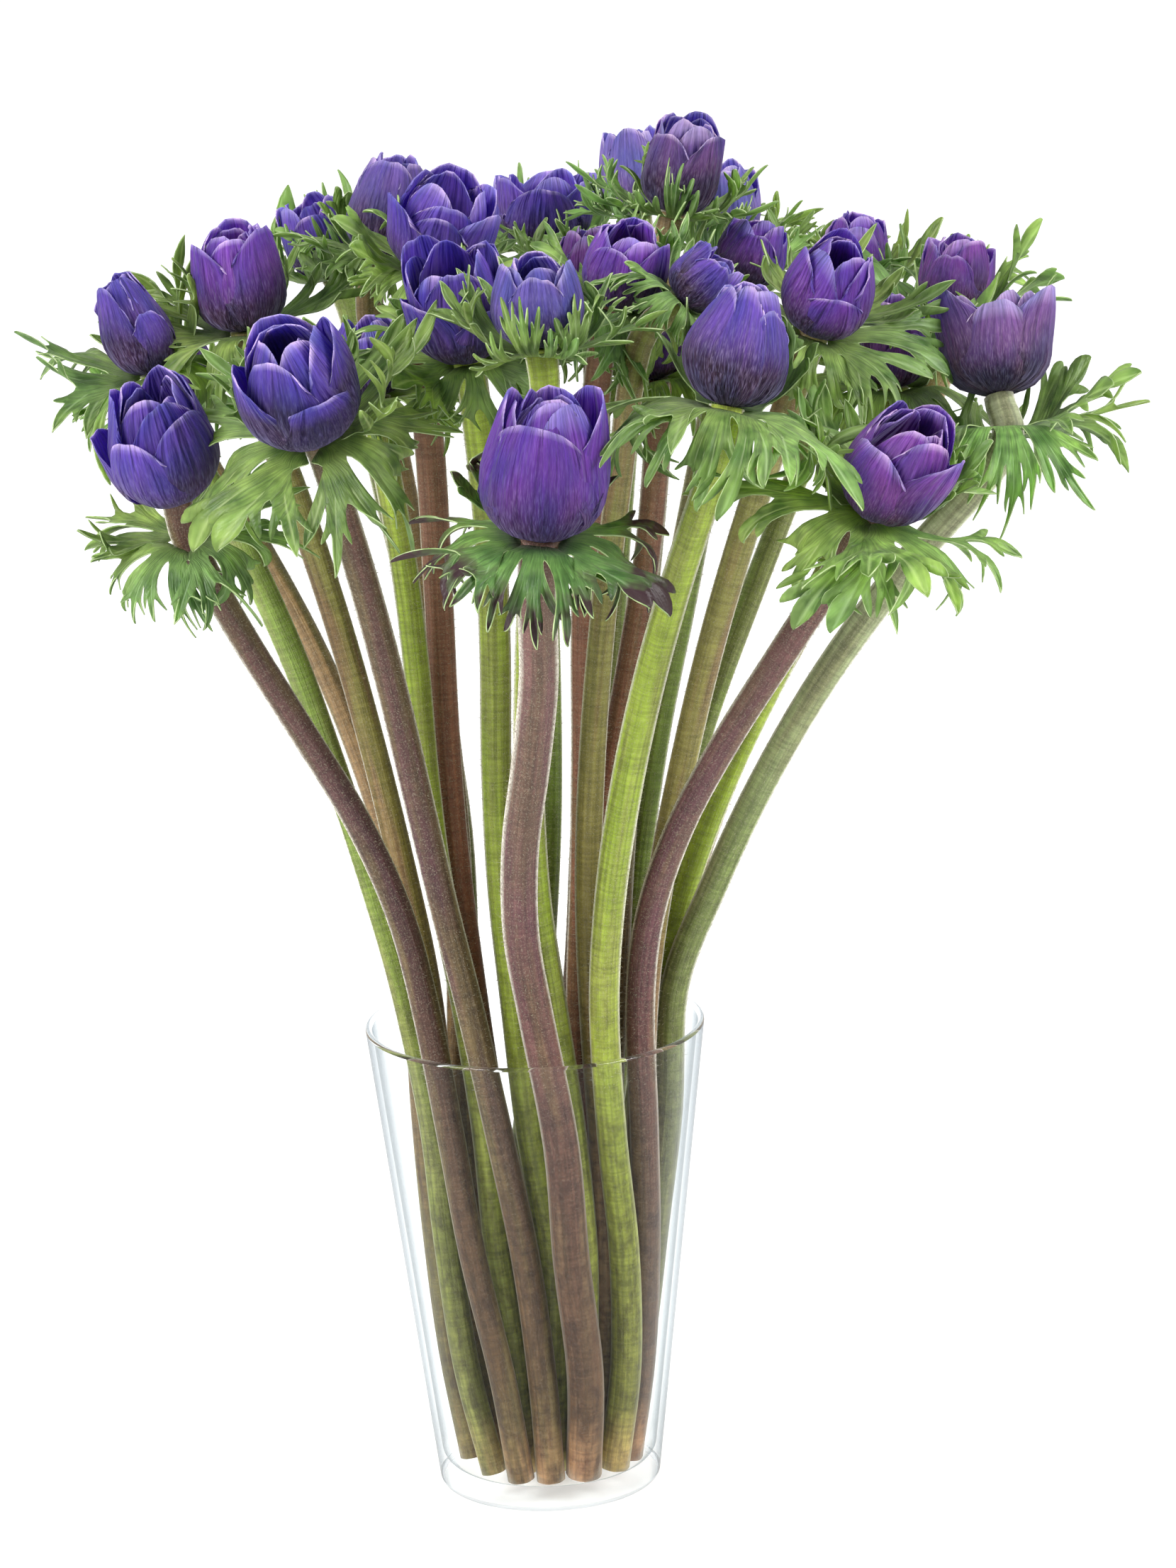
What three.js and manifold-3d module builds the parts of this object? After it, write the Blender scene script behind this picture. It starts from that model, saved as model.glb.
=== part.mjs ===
import * as THREE from 'three';
import { mergeVertices } from 'three/addons/utils/BufferGeometryUtils.js';
import Module from 'manifold-3d';

const wasm = await Module();
wasm.setup();

// A bunch of cut anemones standing in a plain glass vase.
// Millimetres, +Z up, -Y towards the viewer, origin at the centre of the vase's foot.

const vaseSize = {
  height: 173,
  footRadius: 40,
  rimRadius: 61,
  wall: 2.4,
  floor: 8,
  footRound: 2.5,
  innerRound: 5,
  sides: 24,
};

// Clearances between neighbours
const seatGap = 0.3;
const stemGap = 0.45;
const headGap = 0.25;
const stemToBloomGap = 0.8;
const bloomSpare = 0.8;

// Blades
const leafThickness = 0.8;
const petalThickness = 0.9;
const leavesPerFlower = 3;
const leafSpan = THREE.MathUtils.degToRad(116);
const leafRoot = 0.5;
const collarLip = 0.5;
const leafBow = 0.15;
const leafDroop = 0.012;
const leafDip = 6;
const leafRoom = 3;
const openRoom = 400;
const petalsPerBloom = 6;
const petalHalf = THREE.MathUtils.degToRad(55);

// Stems
const stemSides = 6;
const neckLength = 20;
const levelsInVase = [50, 95, 140];
const rimLevel = 188;
const levelsAboveRim = 4;
const bundleAtRim = 54;
const bundleAtFoot = 32;
const bundleFill = 0.5;
const widestHead = 175;
const endFlare = 1.3;
const swayInVase = 5;
const swayAboveRim = 4;
const vaseTwist = THREE.MathUtils.degToRad(38);
const spreadRounds = 380;
const softRounds = 60;
const softening = 0.012;
const push = 0.55;
const slantAllowance = 1.06;

// Each flower: centre of the bloom's underside, bloom height and width, its lean to the right
// and towards the viewer in degrees, how wide its mouth is against its belly, reach and rise
// of the leaves under it, tips to a lobe, bare stalk between leaves and bloom, stem radius,
// and the tones of petals and stem.
const flowers = [
  flower([-124, -10, 414], [37, 25], [-19, 5], 0.35, [46, 0, 3], 0, 4.8, 'blue', 'green'),
  flower([-92, 0, 426], [38, 33], [-5, 5], 0.62, [42, 18, 3], 0, 5.0, 'violet', 'olive'),
  flower([-64, 75, 434], [30, 28], [-19, 0], 0.8, [38, 30, 2], 0, 4.7, 'blue', 'green'),
  flower([-46, 35, 445], [38, 29], [12, 5], 0.6, [38, 24, 3], 0, 5.2, 'purple', 'brown'),
  flower([-26, -15, 447], [34, 37], [16, 15], 0.95, [40, 22, 3], 0, 5.2, 'blue', 'green'),
  flower([-14, -65, 425], [40, 36], [-6, 20], 0.9, [40, 12, 3], 0, 5.4, 'blue', 'lime'),
  flower([11, -110, 434], [31, 31], [-2, 5], 0.55, [46, 8, 3], 0, 5.2, 'violet', 'lime'),
  flower([-64, -115, 409], [43, 40], [-14, 30], 0.55, [48, 4, 3], 0, 5.2, 'blue', 'maroon'),
  flower([-113, -85, 385], [45, 39], [-10, 25], 0.6, [44, -12, 3], 19, 5.0, 'blue', 'maroon'),
  flower([-47, -30, 406], [28, 27], [-6, 0], 0.55, [34, 14, 2], 0, 4.8, 'blue', 'lime'),
  flower([-119, 65, 392], [24, 26], [-12, 0], 0.6, [36, 4, 2], 0, 4.6, 'violet', 'brown'),
  flower([11, 105, 437], [28, 36], [4, 0], 1.05, [38, 28, 2], 0, 4.8, 'blue', 'green'),
  flower([9, -150, 379], [50, 42], [5, 12], 0.5, [44, -20, 3], 0, 6.6, 'purple', 'maroon'),
  flower([58, 0, 462], [35, 28], [12, 3], 0.75, [38, 20, 3], 0, 5.0, 'violet', 'brown'),
  flower([46, 65, 454], [31, 25], [-4, 0], 0.65, [36, 26, 2], 0, 4.7, 'lilac', 'green'),
  flower([80, 105, 436], [31, 25], [-2, 0], 0.65, [36, 26, 2], 0, 4.7, 'lilac', 'olive'),
  flower([36, -55, 439], [30, 29], [16, 15], 0.65, [34, 14, 3], 0, 5.0, 'violet', 'brown'),
  flower([29, 35, 427], [27, 25], [-1, 0], 0.55, [32, 16, 2], 0, 4.8, 'purple', 'maroon'),
  flower([58, -75, 442], [22, 22], [46, 0], 0.8, [32, 12, 2], 0, 4.7, 'blue', 'olive'),
  flower([81, 15, 434], [25, 25], [19, 0], 0.65, [36, 26, 2], 0, 4.8, 'violet', 'green'),
  flower([71, -125, 415], [41, 35], [13, -5], 0.42, [52, 4, 3], 0, 5.6, 'blue', 'lime'),
  flower([103, -60, 429], [35, 31], [19, 22], 0.5, [42, 14, 3], 0, 5.0, 'violet', 'olive'),
  flower([124, 85, 423], [26, 24], [6, 0], 0.65, [38, 20, 2], 0, 4.6, 'violet', 'green'),
  flower([132, -15, 401], [34, 24], [2, 0], 0.6, [38, 10, 3], 0, 4.8, 'purple', 'lime'),
  flower([156, 40, 418], [28, 27], [8, 0], 0.75, [42, 14, 3], 0, 4.8, 'purple', 'olive'),
  flower([166, -45, 402], [37, 38], [-1, -22], 0.85, [53, -8, 3], 12, 5.2, 'purple', 'green'),
  flower([118, -120, 378], [40, 35], [27, 25], 0.65, [48, 8, 3], 0, 5.2, 'purple', 'maroon'),
  flower([49, -30, 409], [23, 23], [-2, 0], 0.55, [30, 14, 2], 0, 4.8, 'purple', 'brown'),
];

const petalColours = { blue: '#3f35a6', violet: '#4a2c9b', purple: '#552a86', lilac: '#8f7fd0' };
const stemColours = {
  green: '#6f8f3a', lime: '#93a83c', olive: '#7d7a45', brown: '#7c6450', maroon: '#5e3f45',
};

function flower(base, [tall, wide], [right, front], mouth, [reach, rise, tips], stalk, stemRadius, tone,
  stemTone) {
  const radians = THREE.MathUtils.degToRad;
  const axis = new THREE.Vector3(Math.tan(radians(right)), -Math.tan(radians(front)), 1).normalize();
  const foot = new THREE.Vector3(...base);
  return {
    base: foot, axis, tall, belly: wide / 2, mouth, reach, rise: radians(rise), tips,
    collar: foot.clone().addScaledVector(axis, -stalk - seatGap - leafThickness / 2),
    disc: (stemRadius + collarLip) / 0.85,
    tip: foot.clone().addScaledVector(axis, tall),
    stalk, stemRadius, tone, stemTone,
  };
}

function seeded(seed) {
  let state = seed;
  return () => {
    state = (state * 16807) % 2147483647;
    return state / 2147483647;
  };
}

// Solids

function solid(geometry) {
  geometry.deleteAttribute('normal');
  geometry.deleteAttribute('uv');
  const merged = mergeVertices(geometry, 1e-4);
  const index = Array.from(merged.index.array);
  const triangles = [];
  for (let i = 0; i < index.length; i += 3) {
    const [a, b, c] = index.slice(i, i + 3);
    if (a !== b && b !== c && a !== c) triangles.push(a, b, c);
  }
  return new wasm.Manifold(new wasm.Mesh({
    numProp: 3,
    vertProperties: new Float32Array(merged.attributes.position.array),
    triVerts: new Uint32Array(triangles),
  }));
}

function largestBody(shape) {
  const bodies = shape.decompose();
  return bodies.reduce((best, body) => (body.volume() > best.volume() ? body : best));
}

function namedMesh(name, shape, material) {
  const { vertProperties, triVerts } = shape.getMesh();
  const geometry = new THREE.BufferGeometry();
  geometry.setAttribute('position', new THREE.BufferAttribute(new Float32Array(vertProperties), 3));
  geometry.setIndex(new THREE.BufferAttribute(new Uint32Array(triVerts), 1));
  geometry.computeVertexNormals();
  const mesh = new THREE.Mesh(geometry, material);
  mesh.name = name;
  return mesh;
}

// A thin closed blade: points on its middle sheet with their normals, and one list of triangles
// that both faces share. The outline runs round the sheet with its face towards the normals.
function blade(points, normals, triangles, outline, thickness) {
  const positions = [];
  for (const side of [0.5, -0.5]) {
    points.forEach((point, i) => {
      positions.push(...point.clone().addScaledVector(normals[i], side * thickness).toArray());
    });
  }
  const lower = points.length;
  const index = [];
  for (const [a, b, c] of triangles) index.push(a, b, c, lower + a, lower + c, lower + b);
  outline.forEach((a, i) => {
    const b = outline[(i + 1) % outline.length];
    index.push(a, lower + a, lower + b, a, lower + b, b);
  });
  const geometry = new THREE.BufferGeometry();
  geometry.setAttribute('position', new THREE.Float32BufferAttribute(positions, 3));
  geometry.setIndex(index);
  return solid(geometry);
}

// Nearest points of two straight stretches
function nearest(p, q, r, s) {
  const u = q.clone().sub(p);
  const v = s.clone().sub(r);
  const w = p.clone().sub(r);
  const a = u.dot(u);
  const b = u.dot(v);
  const c = v.dot(v);
  const d = u.dot(w);
  const e = v.dot(w);
  const clamp = THREE.MathUtils.clamp;
  const spread = a * c - b * b;
  let along = spread > 1e-9 ? clamp((b * e - c * d) / spread, 0, 1) : 0;
  const across = clamp((b * along + e) / c, 0, 1);
  along = clamp((b * across - d) / a, 0, 1);
  const first = p.clone().addScaledVector(u, along);
  const second = r.clone().addScaledVector(v, across);
  return { along, across, first, second, distance: first.distanceTo(second) };
}

// Vase

function vaseRadius(z) {
  return THREE.MathUtils.lerp(vaseSize.footRadius, vaseSize.rimRadius, z / vaseSize.height);
}

function vaseInnerRadius(z) {
  const flat = Math.cos(Math.PI / vaseSize.sides);
  return (vaseRadius(Math.min(z, vaseSize.height)) - vaseSize.wall) * flat;
}

function vaseSolid() {
  const { height, footRadius, rimRadius, wall, floor, footRound, innerRound, sides } = vaseSize;
  const cornerTop = floor + innerRound;
  const profile = [
    [0, 0],
    [footRadius - footRound, 0],
    [vaseRadius(footRound), footRound],
    [rimRadius, height - wall / 2],
    [rimRadius - wall / 2, height],
    [rimRadius - wall, height - wall / 2],
    [vaseRadius(cornerTop) - wall, cornerTop],
    [vaseRadius(floor) - wall - innerRound / 2, floor],
    [0, floor],
  ];
  const points = profile.map(([radius, z]) => new THREE.Vector2(radius, z));
  const lathe = new THREE.LatheGeometry(points, sides);
  lathe.rotateX(Math.PI / 2);
  return solid(lathe);
}

// Stems: a path through control points, with one cross-section at each of them

class StemPath extends THREE.CatmullRomCurve3 {
  constructor(points) {
    super(points, false, 'catmullrom', 0.5);
  }

  getUtoTmapping(u) {
    return u;
  }
}

function firstRoute(bloom, random) {
  const neck = bloom.base.clone().addScaledVector(bloom.axis, -neckLength);
  const centre = new THREE.Vector2();
  const outward = new THREE.Vector2(neck.x, neck.y);
  const rimReach = bundleAtRim * Math.pow(Math.min(outward.length() / widestHead, 1), bundleFill);
  const rim = outward.clone().normalize().multiplyScalar(rimReach);
  const points = [];
  for (const z of [vaseSize.floor + seatGap + 1, ...levelsInVase, rimLevel]) {
    const share = z / rimLevel;
    const narrowing = THREE.MathUtils.lerp(bundleAtFoot / bundleAtRim, 1, share);
    const at = rim.clone().multiplyScalar(narrowing).rotateAround(centre, vaseTwist * (1 - share));
    const sway = new THREE.Vector2(swayInVase * Math.sin(share * Math.PI), 0);
    at.add(sway.rotateAround(centre, random() * Math.PI * 2));
    points.push(new THREE.Vector3(at.x, at.y, z));
  }
  const last = points[points.length - 1];
  const before = points[points.length - 2];
  const startSlope = last.clone().sub(before).divideScalar(last.z - before.z);
  const rise = neck.z - last.z;
  const endSlope = neck.clone().sub(last).multiplyScalar(endFlare / rise);
  const sway = new THREE.Vector2(swayAboveRim, 0).rotateAround(centre, random() * Math.PI * 2);
  for (let i = 1; i <= levelsAboveRim; i++) {
    const t = i / (levelsAboveRim + 1);
    const keep = 2 * t ** 3 - 3 * t ** 2 + 1;
    const arrive = 3 * t ** 2 - 2 * t ** 3;
    const leave = t ** 3 - 2 * t ** 2 + t;
    const land = t ** 3 - t ** 2;
    const at = last.clone().multiplyScalar(keep).addScaledVector(neck, arrive)
      .addScaledVector(startSlope, leave * rise).addScaledVector(endSlope, land * rise);
    const wave = Math.sin(t * Math.PI * 2);
    points.push(new THREE.Vector3(at.x + sway.x * wave, at.y + sway.y * wave, last.z + rise * t));
  }
  const end = bloom.stalk > 0 ? seatGap : seatGap + leafThickness * 0.4;
  points.push(neck, bloom.base.clone().addScaledVector(bloom.axis, -end));
  return points;
}

function pushStretch(points, k, share, shift) {
  const fixedFrom = points.length - 2;
  if (k < fixedFrom) points[k].addScaledVector(shift, 1 - share);
  if (k + 1 < fixedFrom) points[k + 1].addScaledVector(shift, share);
}

function sideways(from, to) {
  const way = to.clone().sub(from).setZ(0);
  if (way.length() < 1e-6) way.set(1, 0, 0);
  return way.normalize();
}

function spreadPair(routeA, routeB, need) {
  for (let k = 0; k + 1 < routeA.length; k++) {
    for (let l = 0; l + 1 < routeB.length; l++) {
      if (routeA[k].z > routeB[l + 1].z + need || routeB[l].z > routeA[k + 1].z + need) continue;
      const near = nearest(routeA[k], routeA[k + 1], routeB[l], routeB[l + 1]);
      const lack = need - near.distance;
      if (lack <= 0) continue;
      const way = sideways(near.first, near.second);
      pushStretch(routeA, k, near.along, way.clone().multiplyScalar(-lack * push));
      pushStretch(routeB, l, near.across, way.multiplyScalar(lack * push));
    }
  }
}

function clearBlooms(route, own) {
  for (const other of flowers) {
    if (other === own) continue;
    const need = other.belly + own.stemRadius + stemToBloomGap;
    const low = other.base.clone().addScaledVector(other.axis, other.belly * 0.8);
    const high = other.tip.clone().addScaledVector(other.axis, -other.belly * 0.5);
    for (let k = 0; k + 1 < route.length; k++) {
      const near = nearest(route[k], route[k + 1], low, high);
      const lack = need - near.distance;
      if (lack > 0) {
        pushStretch(route, k, near.along, sideways(near.second, near.first).multiplyScalar(lack));
      }
    }
  }
}

function keepInVase(route, stemRadius) {
  for (const point of route) {
    if (point.z > rimLevel + 1) continue;
    const corner = point.z < vaseSize.floor + vaseSize.innerRound ? vaseSize.innerRound / 2 : 0;
    const limit = vaseInnerRadius(point.z) - corner - stemRadius * slantAllowance - seatGap;
    const reach = Math.hypot(point.x, point.y);
    if (reach > limit) {
      point.x *= limit / reach;
      point.y *= limit / reach;
    }
  }
}

function soften(route, share) {
  for (let k = 1; k + 2 < route.length; k++) {
    const middle = route[k - 1].clone().lerp(route[k + 1], 0.5);
    route[k].x += (middle.x - route[k].x) * share;
    route[k].y += (middle.y - route[k].y) * share;
  }
}

function stemRoutes() {
  const random = seeded(11);
  const routes = flowers.map((bloom) => firstRoute(bloom, random));
  for (let round = 0; round < spreadRounds; round++) {
    const settling = round > softRounds;
    for (let i = 0; i < routes.length; i++) {
      for (let j = i + 1; j < routes.length; j++) {
        spreadPair(routes[i], routes[j], flowers[i].stemRadius + flowers[j].stemRadius + stemGap);
      }
      clearBlooms(routes[i], flowers[i]);
      if (!settling) soften(routes[i], softening);
      keepInVase(routes[i], flowers[i].stemRadius);
    }
  }
  routes.forEach((route, i) => {
    const slope = route[1].clone().sub(route[0]).normalize();
    const dip = flowers[i].stemRadius * Math.hypot(slope.x, slope.y);
    route[0].z = vaseSize.floor + seatGap + dip;
  });
  return routes;
}

function tube(route, radius) {
  const section = new THREE.Shape();
  for (let i = 0; i < stemSides; i++) {
    const turn = (i / stemSides) * Math.PI * 2;
    const [x, y] = [radius * Math.cos(turn), radius * Math.sin(turn)];
    if (i === 0) section.moveTo(x, y);
    else section.lineTo(x, y);
  }
  const options = { steps: route.length - 1, bevelEnabled: false, extrudePath: new StemPath(route) };
  return solid(new THREE.ExtrudeGeometry(section, options));
}

// Room of each head: flat borders between it and every other head, weighted by bloom width

function headWalls() {
  const segments = flowers.map(({ collar, axis, tip }) => [
    collar.clone().addScaledVector(axis, -leafDip), tip,
  ]);
  return flowers.map((own, i) => flowers.flatMap((other, j) => {
    if (i === j) return [];
    const near = nearest(...segments[i], ...segments[j]);
    const normal = near.second.clone().sub(near.first).normalize();
    const share = (own.belly + leafRoom) / (own.belly + other.belly + 2 * leafRoom);
    const room = near.distance * share;
    return [{ normal, reach: normal.dot(near.first) + room - headGap }];
  }));
}

function trimmed(shape, walls) {
  return walls.reduce((rest, { normal, reach }) => (
    rest.trimByPlane([-normal.x, -normal.y, -normal.z], -reach)
  ), shape);
}

// Directions that stand square to a flower's axis, and the axis itself
function standing(own, turn) {
  const side = new THREE.Vector3(0, 1, 0).cross(own.axis).normalize();
  const back = own.axis.clone().cross(side);
  const out = side.clone().multiplyScalar(Math.cos(turn)).addScaledVector(back, Math.sin(turn));
  return [out, own.axis.clone().cross(out), own.axis];
}

// Leaves under the bloom: three stalkless leaves on one small collar, each cut into three lobes
// with forked tips. Every point of a leaf lies on a curve that leaves the collar in its own
// direction, rises or droops as it goes out, and turns up before the border of the flower's room.

function roomTowards(own, walls, out) {
  const from = own.collar.clone().addScaledVector(own.axis, own.tall * 0.4);
  let room = openRoom;
  for (const { normal, reach } of walls) {
    const closing = normal.dot(out);
    if (closing > 0.05) room = Math.min(room, (reach - normal.dot(from) - 1) / closing);
  }
  return Math.max(room, own.belly + leafRoom) - own.disc;
}

// Height above the collar that a leaf may reach while it is still under its own bloom
function highestUnderBloom(own, reach) {
  const [inner, outer] = [0.3 * own.belly + bloomSpare, 0.9 * own.belly + bloomSpare];
  const slope = THREE.MathUtils.clamp((reach - inner) / (outer - inner), 0, 1);
  return own.stalk + slope * 0.24 * own.tall - (reach < own.disc + 1 ? 0 : 0.3);
}

function leafPoint(own, walls, turn, length) {
  const [out] = standing(own, turn);
  const room = roomTowards(own, walls, out);
  const levelling = -0.6 * Math.asin(out.z);
  const bounded = (distance) => distance / Math.pow(1 + Math.pow(distance / room, 4), 0.25);
  const steps = length > 0 ? 12 : 0;
  const step = length / Math.max(steps, 1);
  let reach = own.disc;
  let high = 0;
  for (let i = 0; i < steps; i++) {
    const distance = (i + 0.5) * step;
    const free = THREE.MathUtils.smoothstep(distance, 0, own.belly);
    const natural = free * (own.rise + levelling + leafBow) - leafDroop * distance;
    const gain = (bounded((i + 1) * step) - bounded(i * step)) / step;
    const climb = Math.max(natural, Math.acos(THREE.MathUtils.clamp(gain, 0, 1)));
    reach += step * Math.cos(climb);
    high += step * Math.sin(climb);
    if (reach < own.belly + bloomSpare + 0.6) high = Math.min(high, highestUnderBloom(own, reach));
  }
  return own.collar.clone().addScaledVector(out, reach).addScaledVector(own.axis, high);
}

function ruff(own, walls, random) {
  const points = [];
  const normals = [];
  const place = (turn, reach) => {
    const at = leafPoint(own, walls, turn, reach);
    const along = leafPoint(own, walls, turn, reach + 0.5).sub(at);
    const round = leafPoint(own, walls, turn + 0.02, reach).sub(at);
    points.push(at);
    normals.push(reach === 0 ? own.axis : along.cross(round).normalize());
    return points.length - 1;
  };
  const start = random() * Math.PI * 2;
  const half = leafSpan / 2;
  const outline = [];
  const triangles = [];
  const collar = [];
  for (let leaf = 0; leaf < leavesPerFlower; leaf++) {
    const middle = start + (leaf / leavesPerFlower) * Math.PI * 2;
    const length = own.reach * (0.92 + random() * 0.16);
    const first = place(middle - leafRoot, 0);
    const valleys = [first];
    outline.push(first);
    for (let lobe = -1; lobe <= 1; lobe++) {
      const aim = middle + lobe * half * 0.7 + (random() - 0.5) * 0.08;
      const reach = length * (lobe === 0 ? 1 : 0.9) * (0.92 + random() * 0.14);
      const spread = half * 0.27;
      const before = valleys[valleys.length - 1];
      const ring = [place(aim - spread, reach * 0.76), place(aim - spread * 0.3, reach * 0.58)];
      if (own.tips === 3) ring.push(place(aim, reach), place(aim + spread * 0.3, reach * 0.6));
      ring.push(place(aim + spread, reach * (own.tips === 3 ? 0.78 : 0.96)));
      const after = lobe < 1 ? place(middle + (lobe + 0.5) * half * 0.7, length * 0.36)
        : place(middle + leafRoot, 0);
      const inner = ring[ring.length - 2];
      triangles.push([before, ring[0], ring[1]], [inner, ring[ring.length - 1], after]);
      triangles.push([before, inner, after]);
      if (own.tips === 3) triangles.push([ring[1], ring[2], ring[3]], [before, ring[1], ring[3]]);
      outline.push(...ring, after);
      valleys.push(after);
    }
    triangles.push([first, valleys[1], valleys[2]], [first, valleys[2], valleys[3]]);
    collar.push(first, valleys[3]);
  }
  for (let i = 1; i + 1 < collar.length; i++) triangles.push([collar[0], collar[i], collar[i + 1]]);
  return blade(points, normals, triangles, outline, leafThickness);
}

function leafyStem(own, route, walls, random) {
  const leaves = trimmed(ruff(own, walls, random), walls).subtract(bloomRoomSolid(own));
  return largestBody(tube(route, own.stemRadius).add(leaves));
}

// Blooms: petals in two rings that rise as one cup from a small flat disc with a raised heart

function bloomSheet(own, random) {
  const points = [];
  const normals = [];
  const outline = [];
  const triangles = [];
  const start = random() * Math.PI * 2;
  const mouth = THREE.MathUtils.lerp(1, own.mouth, 0.85);
  const place = (turn, wide, high, facing) => {
    const [out] = standing(own, turn);
    points.push(own.base.clone().addScaledVector(out, own.belly * wide).addScaledVector(own.axis, high));
    normals.push(out.multiplyScalar(-facing).addScaledVector(own.axis, 1 - facing).normalize());
    return points.length - 1;
  };
  const heartHeight = own.tall * 0.3;
  place(0, 0, heartHeight / 2, 0);
  normals[0] = own.axis.clone().multiplyScalar(heartHeight / petalThickness);
  const disc = [];
  for (let i = 0; i < petalsPerBloom; i++) {
    const inner = i % 2 === 1;
    const aim = start + (i / petalsPerBloom) * Math.PI * 2;
    const ring = inner ? 0.8 : 1;
    const bottom = petalThickness / 2;
    const low = own.tall * (inner ? 0.34 : 0.28);
    const middle = own.tall * 0.77;
    const top = own.tall * ((inner ? 1 : 0.93) - random() * 0.08);
    const p = [
      place(aim - 0.19, 0.26, bottom, 0), place(aim + 0.19, 0.26, bottom, 0),
      ...[-0.8, 0, 0.8].map((span) => place(aim + span * petalHalf, 0.93 * ring, low, 0.6)),
      ...[-1, 0, 1].map((span) => place(aim + span * petalHalf, 0.5 * (1 + mouth) * ring, middle, 1)),
      place(aim + (random() - 0.5) * petalHalf, own.mouth * ring, top, 1),
    ];
    const faces = [
      [0, 2, 3], [0, 3, 1], [1, 3, 4], [2, 5, 6], [2, 6, 3], [3, 6, 7], [3, 7, 4], [5, 8, 6], [6, 8, 7],
    ];
    for (const face of faces) triangles.push(face.map((corner) => p[corner]));
    outline.push(...[0, 2, 5, 8, 7, 4, 1].map((corner) => p[corner]));
    disc.push(p[0], p[1]);
  }
  disc.forEach((corner, i) => triangles.push([0, corner, disc[(i + 1) % disc.length]]));
  return blade(points, normals, triangles, outline, petalThickness);
}

function bloomSolid(own, walls, random) {
  return largestBody(trimmed(bloomSheet(own, random), walls));
}

// The space a bloom fills, a little larger, kept clear by its own leaves
function bloomRoomSolid(own) {
  const { belly, tall, mouth } = own;
  const low = -seatGap / 2;
  const profile = [
    [0, low], [0.27 * belly + bloomSpare, low], [0.93 * belly + bloomSpare, 0.26 * tall],
    [belly + bloomSpare, 0.5 * tall], [0.5 * (1 + mouth) * belly + 2 * bloomSpare, 0.86 * tall],
    [mouth * belly + bloomSpare, tall + bloomSpare], [0, tall + bloomSpare],
  ];
  const sides = 12;
  const points = profile.map(([radius, z]) => new THREE.Vector2(radius / Math.cos(Math.PI / sides), z));
  const lathe = new THREE.LatheGeometry(points, sides);
  lathe.rotateX(Math.PI / 2);
  lathe.applyMatrix4(new THREE.Matrix4().makeBasis(...standing(own, 0)).setPosition(own.base));
  return solid(lathe);
}

// Assembly

function petalMaterial(tone) {
  return new THREE.MeshStandardMaterial({ color: petalColours[tone], roughness: 0.6, metalness: 0 });
}

function stemMaterial(tone) {
  return new THREE.MeshStandardMaterial({ color: stemColours[tone], roughness: 0.65, metalness: 0 });
}

const glass = new THREE.MeshStandardMaterial({
  color: '#e8f1f4', roughness: 0.03, metalness: 0, transparent: true, opacity: 0.3,
});

const bunch = new THREE.Group();
bunch.add(namedMesh('vase', vaseSolid(), glass));

const routes = stemRoutes();
const walls = headWalls();

flowers.forEach((own, i) => {
  const random = seeded(101 + i * 37);
  const number = String(i + 1).padStart(2, '0');
  const stem = leafyStem(own, routes[i], walls[i], random);
  bunch.add(namedMesh(`leafy_stem_${number}`, stem, stemMaterial(own.stemTone)));
  bunch.add(namedMesh(`bloom_${number}`, bloomSolid(own, walls[i], random), petalMaterial(own.tone)));
});

export default bunch;
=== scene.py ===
import math
import random

import bmesh
import bpy
import numpy as np
from mathutils import Matrix, Vector


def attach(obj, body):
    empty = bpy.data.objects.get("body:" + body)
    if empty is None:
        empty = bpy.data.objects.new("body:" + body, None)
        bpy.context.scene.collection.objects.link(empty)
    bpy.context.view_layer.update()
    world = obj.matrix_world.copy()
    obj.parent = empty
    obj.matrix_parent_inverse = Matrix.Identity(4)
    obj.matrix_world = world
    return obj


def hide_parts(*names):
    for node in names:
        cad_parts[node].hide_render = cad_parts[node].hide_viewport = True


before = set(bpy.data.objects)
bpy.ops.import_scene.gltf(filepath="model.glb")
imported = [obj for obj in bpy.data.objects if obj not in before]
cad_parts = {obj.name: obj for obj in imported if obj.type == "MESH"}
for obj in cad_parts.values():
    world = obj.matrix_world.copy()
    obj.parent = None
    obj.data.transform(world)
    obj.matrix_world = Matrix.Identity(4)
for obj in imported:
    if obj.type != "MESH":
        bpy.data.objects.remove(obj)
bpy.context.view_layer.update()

mm = 0.001


def linear(hexColour):
    # sRGB hex to the linear values that Blender works in
    parts = [int(hexColour[i:i + 2], 16) / 255 for i in (1, 3, 5)]
    return [p / 12.92 if p <= 0.04045 else ((p + 0.055) / 1.055) ** 2.4 for p in parts] + [1.0]


def blend(first, second, share):
    return [(1 - share) * a + share * b for a, b in zip(linear(first), linear(second))]


def addNode(tree, kind, links=None, stops=(), **settings):
    # links: input -> an earlier node (its first output), one of its outputs, or a number
    # stops: place and colour along a colour ramp; settings: node properties or input values
    node = tree.nodes.new("ShaderNode" + kind)
    for name, value in settings.items():
        if hasattr(node, name):
            setattr(node, name, value)
        else:
            node.inputs[name.replace("_", " ")].default_value = value
    for name, source in (links or {}).items():
        if isinstance(source, float):
            node.inputs[name].default_value = source
        else:
            tree.links.new(getattr(source, "outputs", [source])[0], node.inputs[name])
    if stops:
        elements = node.color_ramp.elements
        elements[0].position, elements[0].color = stops[0]
        elements[1].position, elements[1].color = stops[-1]
        for place, colour in stops[1:-1]:
            elements.new(place).color = colour
    return node


def newMaterial(name):
    material = bpy.data.materials.new(name)
    material.use_nodes = True
    material.node_tree.nodes.clear()
    return material, material.node_tree


def deselectAll():
    if bpy.context.object and bpy.context.object.mode != "OBJECT":
        bpy.ops.object.mode_set(mode="OBJECT")
    bpy.ops.object.select_all(action="DESELECT")


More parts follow.
